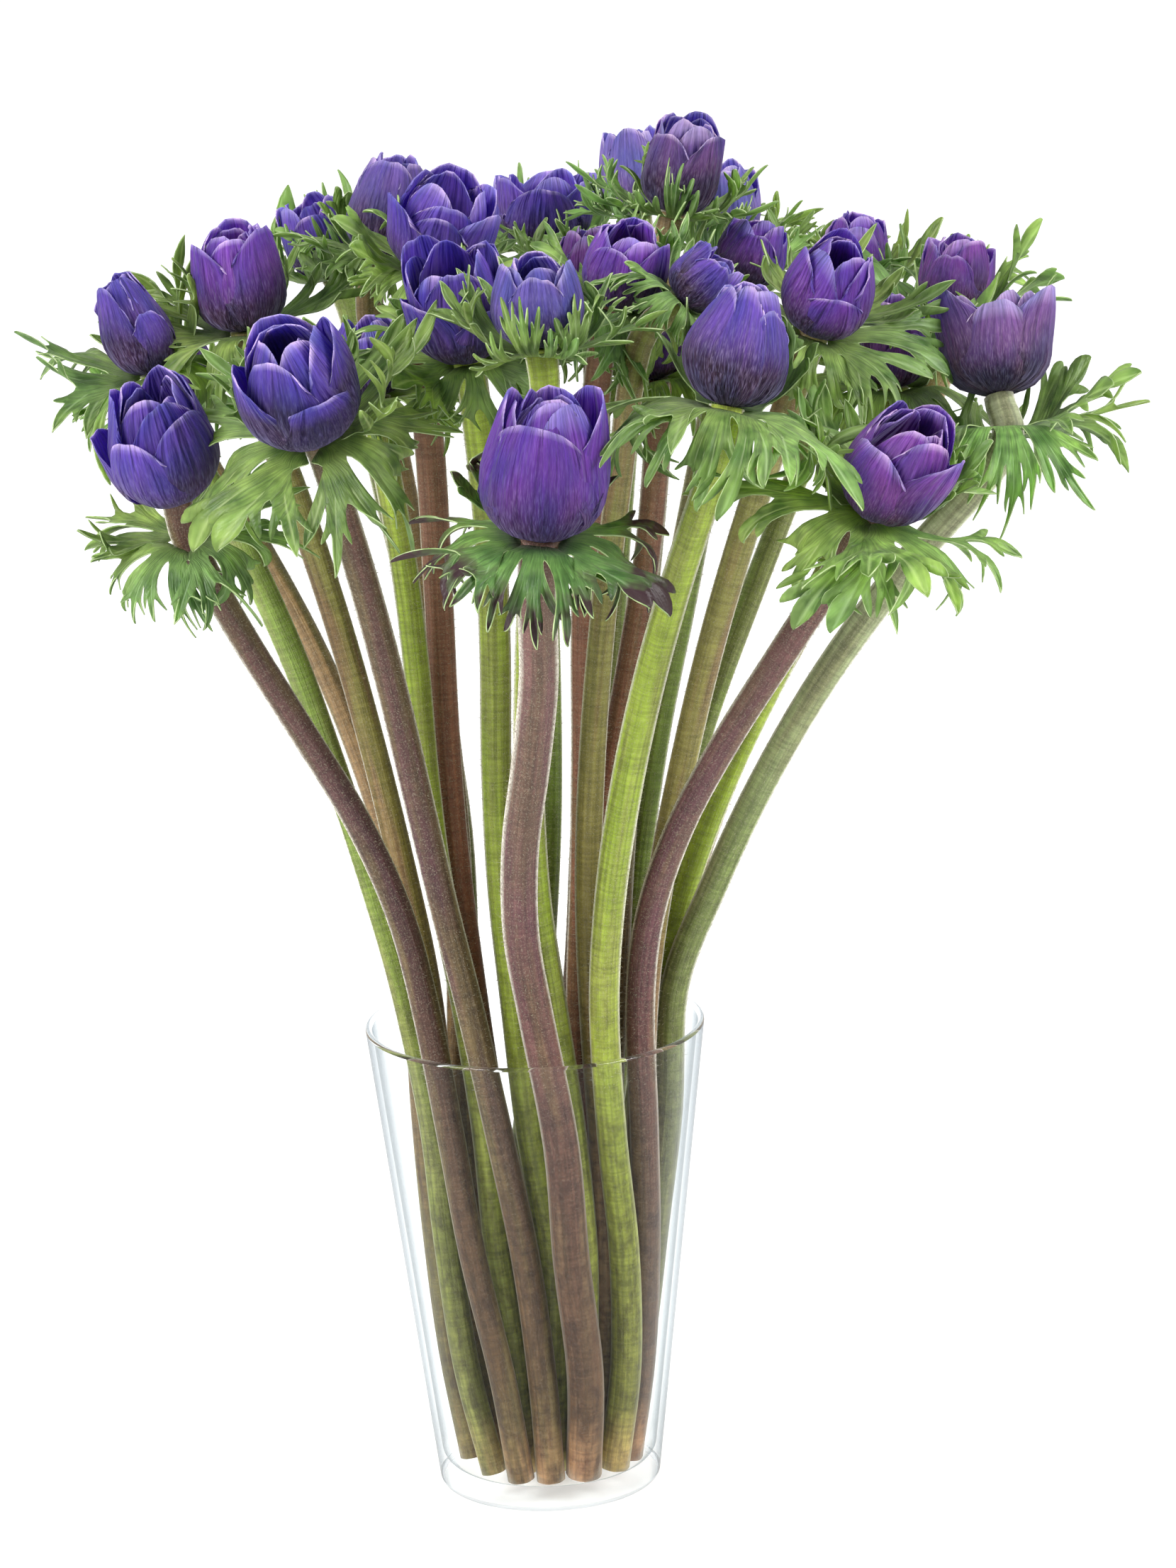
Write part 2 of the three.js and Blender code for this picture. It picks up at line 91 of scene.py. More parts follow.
def pickOnly(piece):
    deselectAll()
    piece.select_set(True)
    bpy.context.view_layer.objects.active = piece


def applyModifier(piece, kind, **settings):
    pickOnly(piece)
    modifier = piece.modifiers.new(kind.title(), kind)
    for name, value in settings.items():
        setattr(modifier, name, value)
    bpy.ops.object.modifier_apply(modifier=modifier.name)


def joinPieces(pieces, name):
    deselectAll()
    for piece in pieces:
        piece.select_set(True)
    bpy.context.view_layer.objects.active = pieces[0]
    bpy.ops.object.join()
    piece = bpy.context.view_layer.objects.active
    piece.name = name
    return piece


def points(mesh):
    flat = np.zeros(len(mesh.vertices) * 3, np.float32)
    mesh.vertices.foreach_get("co", flat)
    return flat.reshape(-1, 3).astype(float)


def movePoints(mesh, places):
    mesh.vertices.foreach_set("co", np.asarray(places, np.float32).ravel())
    mesh.update()


def writeAttribute(mesh, name, kind, values):
    layer = mesh.attributes.new(name, kind, "POINT")
    field = "vector" if kind == "FLOAT_VECTOR" else "value"
    layer.data.foreach_set(field, np.asarray(values, np.float32).ravel())


def readAttribute(mesh, name):
    values = np.zeros(len(mesh.vertices), np.float32)
    mesh.attributes[name].data.foreach_get("value", values)
    return values.astype(float)


def copyOf(piece, name):
    twin = piece.copy()
    twin.data = piece.data.copy()
    twin.name = name
    bpy.context.scene.collection.objects.link(twin)
    return twin


def setMaterials(piece, *materials):
    piece.data.materials.clear()
    for material in materials:
        piece.data.materials.append(material)


def turnOutwards(piece):
    pickOnly(piece)
    bpy.ops.object.mode_set(mode="EDIT")
    bpy.ops.mesh.select_all(action="SELECT")
    bpy.ops.mesh.normals_make_consistent(inside=False)
    bpy.ops.object.mode_set(mode="OBJECT")


def selectWhere(piece, test, mode="FACE"):
    pickOnly(piece)
    bpy.ops.object.mode_set(mode="EDIT")
    bpy.ops.mesh.select_mode(type=mode)
    bpy.ops.mesh.select_all(action="DESELECT")
    mesh = bmesh.from_edit_mesh(piece.data)
    items = {"FACE": mesh.faces, "EDGE": mesh.edges, "VERT": mesh.verts}[mode]
    for item in items:
        item.select = test(item)
    mesh.select_flush_mode()
    bmesh.update_edit_mesh(piece.data)


def finishPiece(piece, node):
    pickOnly(piece)
    bpy.ops.object.shade_smooth()
    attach(piece, "root")
    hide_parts(node)


def unit(rows):
    # rows of directions, each brought to length 1
    return rows / np.maximum(np.linalg.norm(rows, axis=1), 1e-9)[:, None]


def smoothStep(x):
    x = np.clip(x, 0, 1)
    return x * x * (3 - 2 * x)


def throughPoints(places, perStretch):
    # a smooth run through all points, with perStretch steps between two of them
    places = np.asarray(places, float)
    padded = np.vstack([2 * places[0] - places[1], places, 2 * places[-1] - places[-2]])
    run = []
    for k in range(1, len(padded) - 2):
        a, b, c, d = padded[k - 1:k + 3]
        for i in range(perStretch):
            t = i / perStretch
            run.append(0.5 * (2 * b + (c - a) * t + (2 * a - 5 * b + 4 * c - d) * t * t
                              + (3 * b - a - 3 * c + d) * t ** 3))
    run.append(places[-1])
    return np.array(run)


# The camera, at the photograph's viewing angle
cameraSettings = {
    "focal": 7500.0,            # in pixels of the photograph
    "pitch": 13.7,              # degrees that it looks down
    "roll": -1.85,
    "distance": 1.95,           # metres to the vase's axis
    "footPixel": (777, 2078),   # where the middle of the vase's foot shows
    "photoSize": (1659, 2212),
    "sensor": 36, "farthest": 60,
}


def placeCamera(s):
    wide, high = s["photoSize"]
    pitch, roll = math.radians(s["pitch"]), math.radians(s["roll"])
    ahead = Vector((0, math.cos(pitch), -math.sin(pitch)))
    above = Vector((0, math.sin(pitch), math.cos(pitch)))
    right = Vector((1, 0, 0))
    rolledRight = math.cos(roll) * right + math.sin(roll) * above
    rolledUp = -math.sin(roll) * right + math.cos(roll) * above
    across = (s["footPixel"][0] - wide / 2) / s["focal"] * s["distance"]
    upward = -(s["footPixel"][1] - high / 2) / s["focal"] * s["distance"]
    data = bpy.data.cameras.new("photoCamera")
    data.sensor_fit, data.sensor_height = "VERTICAL", s["sensor"]
    data.lens = s["focal"] / high * s["sensor"]
    data.clip_end = s["farthest"]
    camera = bpy.data.objects.new("photoCamera", data)
    bpy.context.scene.collection.objects.link(camera)
    turned = Matrix((rolledRight, rolledUp, -ahead)).transposed().to_4x4()
    turned.translation = -(across * rolledRight + upward * rolledUp + s["distance"] * ahead)
    camera.matrix_world = turned
    bpy.context.scene.camera = camera


placeCamera(cameraSettings)
print("camera placed")


# The flowers, with the same values as in the part's source, in millimetres and degrees:
# base, (tall, wide), (lean right, lean to the viewer), mouth, (leaf reach, rise), bare stalk,
# stem radius, petal tone, stem tone, then for the looks: where the lowest outer petal faces
# (0 is the viewer, + is right), how high it reaches and how broad it is
flowerRows = [
    ((-124, -10, 414), (37, 25), (-19, 5), 0.35, (46, 0), 0, 4.8, "blue", "green", 20, 0.62, 0.85),
    ((-92, 0, 426), (38, 33), (-5, 5), 0.62, (42, 18), 0, 5.0, "violet", "olive", 50, 1.0, 1.35),
    ((-64, 75, 434), (30, 28), (-19, 0), 0.8, (38, 30), 0, 4.7, "blue", "green", 0, 0.8, 1),
    ((-46, 35, 445), (38, 29), (12, 5), 0.6, (38, 24), 0, 5.2, "purple", "brown", 10, 0.98, 1.45),
    ((-26, -15, 447), (34, 37), (16, 15), 0.95, (40, 22), 0, 5.2, "blue", "green", 30, 0.86, 1.1),
    ((-14, -65, 425), (40, 36), (-6, 20), 0.9, (40, 12), 0, 5.4, "blue", "lime", -40, 0.7, 1.2),
    ((11, -110, 434), (31, 31), (-2, 5), 0.55, (46, 8), 0, 5.2, "violet", "lime", 40, 0.8, 0.95),
    ((-64, -115, 409), (43, 40), (-14, 30), 0.55, (48, 4), 0, 5.2, "blue", "maroon", 20, 0.62, 1.15),
    ((-113, -85, 385), (45, 39), (-10, 25), 0.6, (44, -12), 19, 5.0, "blue", "maroon", -10, 0.62, 1.0),
    ((-47, -30, 406), (28, 27), (-6, 0), 0.55, (34, 14), 0, 4.8, "blue", "lime", 0, 0.8, 1),
    ((-119, 65, 392), (24, 26), (-12, 0), 0.6, (36, 4), 0, 4.6, "violet", "brown", 0, 0.8, 1),
    ((11, 105, 437), (28, 36), (4, 0), 1.05, (38, 28), 0, 4.8, "blue", "green", 0, 0.85, 1),
    ((9, -150, 379), (50, 42), (5, 12), 0.5, (44, -20), 0, 6.6, "violet", "maroon", -12, 0.8, 1.55),
    ((58, 0, 462), (35, 28), (12, 3), 0.75, (38, 20), 0, 5.0, "violet", "brown", 10, 0.82, 1.2),
    ((46, 65, 454), (31, 25), (-4, 0), 0.65, (36, 26), 0, 4.7, "lilac", "green", 0, 1.0, 1),
    ((80, 105, 436), (31, 25), (-2, 0), 0.65, (36, 26), 0, 4.7, "lilac", "olive", 0, 0.9, 1),
    ((36, -55, 439), (30, 29), (16, 15), 0.65, (34, 14), 0, 5.0, "violet", "brown", -20, 0.75, 1.2),
    ((29, 35, 427), (27, 25), (-1, 0), 0.55, (32, 16), 0, 4.8, "purple", "maroon", 0, 0.9, 1),
    ((58, -75, 442), (22, 22), (46, 0), 0.8, (32, 12), 0, 4.7, "blue", "olive", 0, 0.9, 1),
    ((81, 15, 434), (25, 25), (19, 0), 0.65, (36, 26), 0, 4.8, "violet", "green", 0, 0.8, 1),
    ((71, -125, 415), (41, 35), (13, -5), 0.42, (52, 4), 0, 5.6, "blue", "lime", 15, 0.85, 1.05),
    ((103, -60, 429), (35, 31), (19, 22), 0.5, (42, 14), 0, 5.0, "violet", "olive", 15, 0.55, 1.3),
    ((124, 85, 423), (26, 24), (6, 0), 0.65, (38, 20), 0, 4.6, "violet", "green", 0, 0.85, 1),
    ((132, -15, 401), (34, 24), (2, 0), 0.6, (38, 10), 0, 4.8, "purple", "lime", 25, 0.6, 1),
    ((156, 40, 418), (28, 27), (8, 0), 0.75, (42, 14), 0, 4.8, "purple", "olive", -15, 0.8, 1),
    ((166, -45, 402), (37, 38), (-1, -22), 0.85, (53, -8), 12, 5.2, "purple", "green", 10, 0.85, 1.15),
    ((118, -120, 378), (40, 35), (27, 25), 0.65, (48, 8), 0, 5.2, "purple", "maroon", -20, 0.72, 1.35),
    ((49, -30, 409), (23, 23), (-2, 0), 0.55, (30, 14), 0, 4.8, "purple", "brown", 0, 0.9, 1),
]

headSettings = {
    "stemTopGap": 0.3, "leafHalf": 0.4, "collarLip": 0.5, "collarFill": 0.85, "leafDip": 6.0,
    "leafRoom": 3.0, "headGap": 0.25, "neck": 20.0, "seed": 500, "seedStep": 31,
}


def makeFlower(number, row):
    base, (tall, wide), (right, front), mouth, (reach, rise), stalk, radius, *looks = row
    petals, stem, face, low, broad = looks
    s = headSettings
    axis = np.array([math.tan(math.radians(right)), -math.tan(math.radians(front)), 1.0])
    axis /= np.linalg.norm(axis)
    side = np.cross([0, 1, 0], axis)
    side /= np.linalg.norm(side)
    base = np.array(base, float)
    return {
        "number": f"{number:02d}", "base": base, "axis": axis, "side": side,
        "back": np.cross(axis, side), "tall": tall, "belly": wide / 2, "mouth": mouth, "reach": reach,
        "rise": math.radians(rise), "stalk": stalk, "radius": radius, "petalTone": petals,
        "stemTone": stem, "face": face, "low": low, "broad": broad,
        "collar": base - axis * (stalk + s["stemTopGap"] + s["leafHalf"]),
        "disc": (radius + s["collarLip"]) / s["collarFill"], "tip": base + axis * tall,
        "chance": random.Random(s["seed"] + number * s["seedStep"]),
    }


def nearestPoints(p, q, r, s):
    # where the stretches from p to q and from r to s come closest
    u, v, w = q - p, s - r, p - r
    a, b, c, d, e = u @ u, u @ v, v @ v, u @ w, v @ w
    spread = a * c - b * b
    along = min(max((b * e - c * d) / spread, 0), 1) if spread > 1e-9 else 0
    across = min(max((b * along + e) / c, 0), 1)
    along = min(max((b * across - d) / a, 0), 1)
    return p + u * along, r + v * across


def setWalls(flowers):
    # the room of each head: flat borders to every other head, as in the part's source
    s = headSettings
    for own in flowers:
        own["walls"] = []
        for other in flowers:
            if other is own:
                continue
            mine, theirs = nearestPoints(
                own["collar"] - own["axis"] * s["leafDip"], own["tip"],
                other["collar"] - other["axis"] * s["leafDip"], other["tip"])
            away = theirs - mine
            distance = np.linalg.norm(away)
            normal = away / distance
            share = (own["belly"] + s["leafRoom"]) / (own["belly"] + other["belly"] + 2 * s["leafRoom"])
            own["walls"].append((normal, normal @ mine + distance * share - s["headGap"]))


flowers = [makeFlower(i + 1, row) for i, row in enumerate(flowerRows)]
setWalls(flowers)


def petalTissue(name, deep, clear, edge, dark, veil, translucence):
    # Thin living petal, velvety: a pale sheen from tiny hairs, fine lengthwise veins, a darker
    # brown-purple base, light glowing through it and a painted highlight along the hem
    material, tree = newMaterial(name)
    place = addNode(tree, "Attribute", attribute_name="petalPlace").outputs["Vector"]
    hem = addNode(tree, "Attribute", attribute_name="petalHem").outputs["Fac"]
    _, along, number = addNode(tree, "SeparateXYZ", {0: place}).outputs
    veins, silk, cloud, wrinkles = (
        addNode(tree, "TexNoise", {"Vector": addNode(tree, "Mapping", {"Vector": place}, Scale=scale)},
                Scale=1.0, Detail=detail, Roughness=roughness)
        for scale, detail, roughness in (
            ((0.9, 1.4, 7.3), 3.0, 0.6),     # veins 1.1 mm apart; real ones, at 0.5 mm, would not show
            ((2.4, 13.0, 3.1), 2.0, 0.6),    # silky hairs 0.4 mm apart and 3 mm long
            ((0.08, 2.2, 2.9), 1.0, 0.5),    # cloudy change of tone, about 12 mm across
            ((0.26, 1.6, 5.1), 2.0, 0.5)))   # wrinkles 4 mm apart that run up the petal
    # one petal stays dark higher up than the next
    whole = addNode(tree, "Math", {0: number}, operation="ROUND")
    own = addNode(tree, "TexWhiteNoise", {"W": whole}, noise_dimensions="1D")
    later = addNode(tree, "MapRange", {"Value": own}, To_Min=-0.2, To_Max=0.1)
    begun = addNode(tree, "Math", {0: along, 1: later}, operation="ADD")
    # towards the tip the colour turns lighter: a painted highlight
    height = addNode(tree, "ValToRGB", {"Fac": begun}, stops=(
        (dark, linear(deep)), ((dark + 0.9) / 2, blend(deep, clear, 0.65)),
        (0.9, linear(clear)), (1.0, blend(clear, edge, 0.52))))
    darker = addNode(tree, "MapRange", {"Value": veins},
                     From_Min=0.36, From_Max=0.64, To_Min=0.66, To_Max=1.26)
    veined = addNode(tree, "MixRGB", {"Color1": height, "Color2": darker}, blend_type="MULTIPLY", Fac=0.9)
    # the down is thickest low on the petal
    lowDown = addNode(tree, "MapRange", {"Value": along},
                      From_Min=0.2, From_Max=0.85, To_Min=veil, To_Max=veil * 0.3)
    downy = addNode(tree, "MapRange", {"Value": silk, "To Max": lowDown}, From_Min=0.46, From_Max=0.7)
    haired = addNode(tree, "MixRGB", {"Fac": downy, "Color1": veined}, Color2=linear(edge))
    # painted highlight along the hem, uneven in strength
    unevenHemHighlight = addNode(tree, "MapRange", {"Value": cloud},
                   From_Min=0.35, From_Max=0.65, To_Min=0.12, To_Max=0.95)
    hemHighlightShare = addNode(tree, "Math", {0: hem, 1: unevenHemHighlight}, operation="MULTIPLY")
    hemHighlighted = addNode(tree, "MixRGB", {"Fac": hemHighlightShare, "Color1": haired},
                       Color2=blend(edge, "#ffffff", 0.35))
    # broad patches are bluer and darker, others redder and lighter
    patch = addNode(tree, "MapRange", {"Value": cloud}, From_Min=0.34, From_Max=0.66)
    tint = addNode(tree, "MixRGB", {"Fac": patch}, Color1=(0.7, 0.8, 0.96, 1), Color2=(1.34, 1.1, 1.12, 1))
    clouded = addNode(tree, "MixRGB", {"Color1": hemHighlighted, "Color2": tint}, blend_type="MULTIPLY", Fac=1.0)
    creased = addNode(tree, "Bump", {"Height": wrinkles}, Strength=0.9, Distance=0.005)
    ridges = addNode(tree, "Bump", {"Height": veins, "Normal": creased}, Strength=0.7, Distance=0.0006)
    body = addNode(tree, "BsdfPrincipled", {"Base Color": clouded, "Normal": ridges}, Roughness=0.5,
                   Specular_IOR_Level=0.3, Sheen_Weight=0.5, Sheen_Roughness=0.4,
                   Sheen_Tint=linear("#c6bcf4"))
    through = addNode(tree, "MixRGB", {"Color1": clouded}, Fac=0.5, Color2=linear("#8a63f4"))
    glow = addNode(tree, "BsdfTranslucent", {"Color": through, "Normal": ridges})
    both = addNode(tree, "MixShader", {1: body, 2: glow}, Fac=translucence)
    addNode(tree, "OutputMaterial", {"Surface": both})
    return material


petalFinish = {
    # colour at the base, higher up, and of hairs and painted tip and hem highlight; how high the base colour
    # reaches
    "tones": {
        "blue": ("#3c2638", "#6a52b8", "#c6bcf8", 0.32),
        "violet": ("#402638", "#7b49b6", "#cebcf6", 0.28),
        "purple": ("#432738", "#814ba6", "#d2b8ee", 0.32),
        "rich": ("#40214e", "#6e40aa", "#bcaaf0", 0.2),
        "lilac": ("#6a5a94", "#9184d0", "#e2ddfb", 0.1),
        "dusky": ("#3a2833", "#755490", "#d4c6ec", 0.4),
        "veined": ("#473b66", "#6d62b4", "#d2cbf4", 0.3),
        "darkBased": ("#35222c", "#6850b4", "#cec4f8", 0.44),
        "shaded": ("#32243e", "#5f4cb4", "#c8bef8", 0.6),
        "clouded": ("#3e2e3a", "#7360b0", "#cdbff0", 0.42),
    },
    # blooms whose look differs from the tone of their slot
    "looks": {"04": "clouded", "07": "veined", "08": "shaded", "13": "rich", "14": "dusky",
              "21": "darkBased", "26": "dusky"},
    "duskyInside": "#5a49b2",    # the inner face of a dusky petal stays blue
    "outerVeil": 0.4, "innerVeil": 0.15, "outerGlow": 0.38, "innerGlow": 0.4,
}


def petalPair(tone):
    # outer and inner face of a petal
    s = petalFinish
    deep, clear, edge, dark = s["tones"][tone]
    within = s["duskyInside"] if tone == "dusky" else clear
    return (petalTissue(f"{tone} petal tissue, outer face", deep, clear, edge, dark,
                        s["outerVeil"], s["outerGlow"]),
            petalTissue(f"{tone} petal tissue, inner face", within, within, edge, dark,
                        s["innerVeil"], s["innerGlow"]))


def leafTissue(name, s):
    # Soft leaf, slightly glossy and hairy: paler ribs, mottled green, yellow-green light through it
    material, tree = newMaterial(name)
    place = addNode(tree, "Attribute", attribute_name="leafPlace").outputs["Vector"]
    ribShare, outward, seed = addNode(tree, "SeparateXYZ", {0: place}).outputs
    where = addNode(tree, "TexCoord").outputs["Object"]
    # veins that run out from the collar, about 0.6 mm apart
    run = addNode(tree, "Attribute", attribute_name="leafRun").outputs["Vector"]
    veinPlace = addNode(tree, "Mapping", {"Vector": run}, Scale=(1.7, 0.09, 7.3))
    veins = addNode(tree, "TexNoise", {"Vector": veinPlace}, Scale=1.0, Detail=2.0, Roughness=0.6)
    # mottling 9 mm across, cells of 0.8 mm, and drifts of colour over 60 mm and more
    mottle, cells, drift = (
        addNode(tree, "TexNoise", {"Vector": where}, Scale=scale, Detail=detail)
        for scale, detail in ((110.0, 2.0), (1250.0, 1.0), (14.0, 1.0)))
    green = addNode(tree, "ValToRGB", {"Fac": mottle},
                    stops=((0.3, linear(s["deep"])), (0.72, linear(s["clear"]))))
    veining = addNode(tree, "MapRange", {"Value": veins},
                      From_Min=0.38, From_Max=0.62, To_Min=0.7, To_Max=1.14)
    veined = addNode(tree, "MixRGB", {"Color1": green, "Color2": veining}, blend_type="MULTIPLY", Fac=1.0)
    # pale ribs; the tips' colour, in patches down between the veins; painted shade near the collar
    patches = addNode(tree, "MapRange", {"Value": mottle},
                      From_Min=0.35, From_Max=0.65, To_Min=-0.14, To_Max=0.14)
    reached = addNode(tree, "Math", {0: outward, 1: patches}, operation="ADD")
    colour = veined
    for measure, first, last, low, high, other in (
            (ribShare, 0.7, 1.0, 0.0, 0.6, s["rib"]),
            (reached, s["tipFrom"], s["tipFrom"] + 0.25, 0.0, s["tipShare"], s["tip"]),
            (outward, 0.04, 0.28, s["collarShadeShare"], 0.0, s["heart"])):
        share = addNode(tree, "MapRange", {"Value": measure},
                        From_Min=first, From_Max=last, To_Min=low, To_Max=high)
        colour = addNode(tree, "MixRGB", {"Fac": share, "Color1": colour}, Color2=linear(other))
    # long stretches are bluer or yellower, and one leaf is a little lighter or darker than the next
    drifting = addNode(tree, "ValToRGB", {"Fac": drift},
                       stops=((0.36, (0.74, 0.9, 0.9, 1)), (0.64, (1.0, 1.0, 0.8, 1))))
    own = addNode(tree, "MapRange", {"Value": seed}, To_Min=0.8, To_Max=1.22)
    for factor in (drifting, own):
        colour = addNode(tree, "MixRGB", {"Color1": colour, "Color2": factor},
                         blend_type="MULTIPLY", Fac=1.0)
    furrows = addNode(tree, "Bump", {"Height": veins}, Strength=0.8, Distance=0.0009)
    relief = addNode(tree, "Bump", {"Height": cells, "Normal": furrows}, Strength=0.4, Distance=0.0003)
    body = addNode(tree, "BsdfPrincipled", {"Base Color": colour, "Normal": relief}, Roughness=0.4,
                   Specular_IOR_Level=0.5, Sheen_Weight=0.3, Sheen_Roughness=0.35,
                   Sheen_Tint=linear("#eef2da"))
    sunlit = addNode(tree, "MixRGB", {"Color1": colour}, blend_type="MULTIPLY", Fac=1.0,
                     Color2=(1.4, 1.4, 0.7, 1))
    glow = addNode(tree, "BsdfTranslucent", {"Color": sunlit})
    both = addNode(tree, "MixShader", {1: body, 2: glow}, Fac=0.42)
    addNode(tree, "OutputMaterial", {"Surface": both})
    return material


leafFinish = {
    # the heart colour and its share are painted shade, darker towards the collar under the bloom
    "fresh": {"deep": "#698846", "clear": "#b6cb80", "rib": "#dae4b8", "tip": "#a2bf68",
              "tipShare": 0.3, "tipFrom": 0.5, "heart": "#587040", "collarShadeShare": 0.5},
    "flushed": {"deep": "#658646", "clear": "#a4c070", "rib": "#ccd8a8", "tip": "#52283a",
                "tipShare": 0.95, "tipFrom": 0.44, "heart": "#24443c", "collarShadeShare": 0.85},
}


def stemTissue(name, low, middle, high, other):
    # Fleshy stem under a pale down, with a painted highlight at its rims for the shining down: two
    # colours that run into each other lengthwise, fine streaks and faint rings
    material, tree = newMaterial(name)
    place = addNode(tree, "Attribute", attribute_name="stemPlace").outputs["Vector"]
    where = addNode(tree, "TexCoord").outputs["Object"]
    level = addNode(tree, "SeparateXYZ", {0: where}).outputs["Z"]
    streaks, sides, rings, blotches = (
        addNode(tree, "TexNoise", {"Vector": addNode(tree, "Mapping", {"Vector": place}, Scale=scale)},
                Scale=1.0, Detail=detail, Roughness=roughness)
        for scale, detail, roughness in (
            ((0.8, 0.8, 0.016), 3.0, 0.55),     # streaks 1.2 mm apart and about 60 mm long
            ((0.13, 0.13, 0.012), 2.0, 0.6),    # sides of the stem, for 80 mm or so
            ((0.12, 0.12, 1.0), 3.0, 0.5),      # faint rings of stretched cells, 1 mm apart
            ((0.3, 0.3, 0.17), 3.0, 0.65)))     # wet blotches 6 mm long, seen in the vase
    # a grain of 0.6 mm, and tufts of down of 0.9 mm
    grain, tufts = (addNode(tree, "TexNoise", {"Vector": place}, Scale=scale, Detail=detail)
                    for scale, detail in ((1.7, 2.0), (1.1, 1.0)))
    rise = addNode(tree, "MapRange", {"Value": level}, From_Max=0.4)
    tone = addNode(tree, "ValToRGB", {"Fac": rise}, stops=(
        (0.03, blend(other, "#cf9c80", 0.5)), (0.085, linear(low)), (0.36, blend(low, middle, 0.35)),
        (0.6, linear(middle)), (0.95, linear(high))))
    # the second colour takes a side of the stem
    sideShare = addNode(tree, "MapRange", {"Value": sides}, From_Min=0.46, From_Max=0.62, To_Max=0.8)
    colour = addNode(tree, "MixRGB", {"Fac": sideShare, "Color1": tone}, Color2=linear(other))
    for pattern, darkest, lightest in ((streaks, 0.72, 1.2), (rings, 0.8, 1.14)):
        factor = addNode(tree, "MapRange", {"Value": pattern},
                         From_Min=0.35, From_Max=0.65, To_Min=darkest, To_Max=lightest)
        colour = addNode(tree, "MixRGB", {"Color1": colour, "Color2": factor},
                         blend_type="MULTIPLY", Fac=1.0)
    # below the rim of the vase the stem is lighter, with dark and yellowish blotches by turns
    inVase = addNode(tree, "MapRange", {"Value": level},
                     From_Min=0.12, From_Max=0.26, To_Min=1.0, To_Max=0.3)
    blotching = addNode(tree, "ValToRGB", {"Fac": blotches},
                        stops=((0.34, (0.52, 0.48, 0.46, 1)), (0.6, (1.0, 1.0, 0.86, 1))))
    blotched = addNode(tree, "MixRGB", {"Fac": inVase, "Color1": colour, "Color2": blotching},
                       blend_type="MULTIPLY")
    lifted = addNode(tree, "MixRGB", {"Fac": inVase, "Color1": blotched}, blend_type="MULTIPLY",
                     Color2=(1.26, 1.23, 1.06, 1))
    # pale flecks of the down, and a painted highlight of white down at the rims, both thicker above the vase
    fleckMost, rimHighlightMost = (
        addNode(tree, "MapRange", {"Value": level}, From_Min=0.1, From_Max=0.24, To_Min=0.1, To_Max=most)
        for most in (0.26, 0.95))
    flecks = addNode(tree, "MapRange", {"Value": grain, "To Max": fleckMost}, From_Min=0.52, From_Max=0.7)
    flecked = addNode(tree, "MixRGB", {"Fac": flecks, "Color1": lifted}, Color2=linear("#c9c0a6"))
    relief = addNode(tree, "Bump", {"Height": streaks}, Strength=0.6, Distance=0.0007)
    rough = addNode(tree, "Bump", {"Height": grain, "Normal": relief}, Strength=0.5, Distance=0.0003)
    body = addNode(tree, "BsdfPrincipled", {"Base Color": flecked, "Normal": rough}, Roughness=0.5,
                   Specular_IOR_Level=0.35, Sheen_Weight=0.25, Sheen_Roughness=0.3,
                   Sheen_Tint=linear("#f6f2e2"))
    # painted rim highlight: a white surface mixed in where the stem is seen edge-on, in tufts
    slant = addNode(tree, "LayerWeight", Blend=0.3).outputs["Facing"]
    thick = addNode(tree, "MapRange", {"Value": tufts, "To Max": rimHighlightMost},
                    From_Min=0.3, From_Max=0.6, To_Min=0.15)
    rimHighlight = addNode(tree, "MapRange", {"Value": slant, "To Max": thick}, From_Min=0.38, From_Max=0.62)
    downRimHighlight = addNode(tree, "BsdfDiffuse", Color=linear("#f2eedf"))
    both = addNode(tree, "MixShader", {0: rimHighlight, 1: body, 2: downRimHighlight})
    addNode(tree, "OutputMaterial", {"Surface": both})
    return material


stemFinish = {
    # low in the vase, halfway, under the bloom, streaks
    "tones": {
        "green": ("#666836", "#7c9440", "#93ad58", "#7f8450"),
        "lime": ("#747636", "#98b03a", "#aec64c", "#929a4c"),
        "olive": ("#6a6040", "#8a8048", "#979658", "#8a6a52"),
        "brown": ("#5a4a30", "#8c7050", "#9a805c", "#6f6a40"),
        "maroon": ("#54402e", "#56393e", "#664840", "#66583c"),
        "russet": ("#543c2e", "#8c5c4a", "#9c7060", "#806a48"),
        "mauve": ("#5c4436", "#653f4c", "#76544e", "#6a5444"),
        "pale": ("#5f6140", "#7d8e54", "#b9c2a0", "#7d7e5c"),
    },
    # stems whose look differs from the tone of their slot
    "looks": {"05": "russet", "13": "mauve", "17": "russet", "26": "pale", "27": "mauve",
              "28": "russet"},
}


def mottledTissue(name, scale, detail, tones, roughness, bump=0.0, glow=0.0):
    # a plain small tissue: two tones in mottles 1 / scale metres across
    material, tree = newMaterial(name)
    where = addNode(tree, "TexCoord").outputs["Object"]
    mottle = addNode(tree, "TexNoise", {"Vector": where}, Scale=scale, Detail=detail)
    tone = addNode(tree, "ValToRGB", {"Fac": mottle}, stops=[(place, linear(hue)) for place, hue in tones])
    links = {"Base Color": tone}
    if bump:
        links["Normal"] = addNode(tree, "Bump", {"Height": mottle}, Strength=bump, Distance=0.0004)
    surface = addNode(tree, "BsdfPrincipled", links, Roughness=roughness)
    if glow:
        through = addNode(tree, "BsdfTranslucent", {"Color": tone})
        surface = addNode(tree, "MixShader", {1: surface, 2: through}, Fac=glow)
    addNode(tree, "OutputMaterial", {"Surface": surface})
    return material


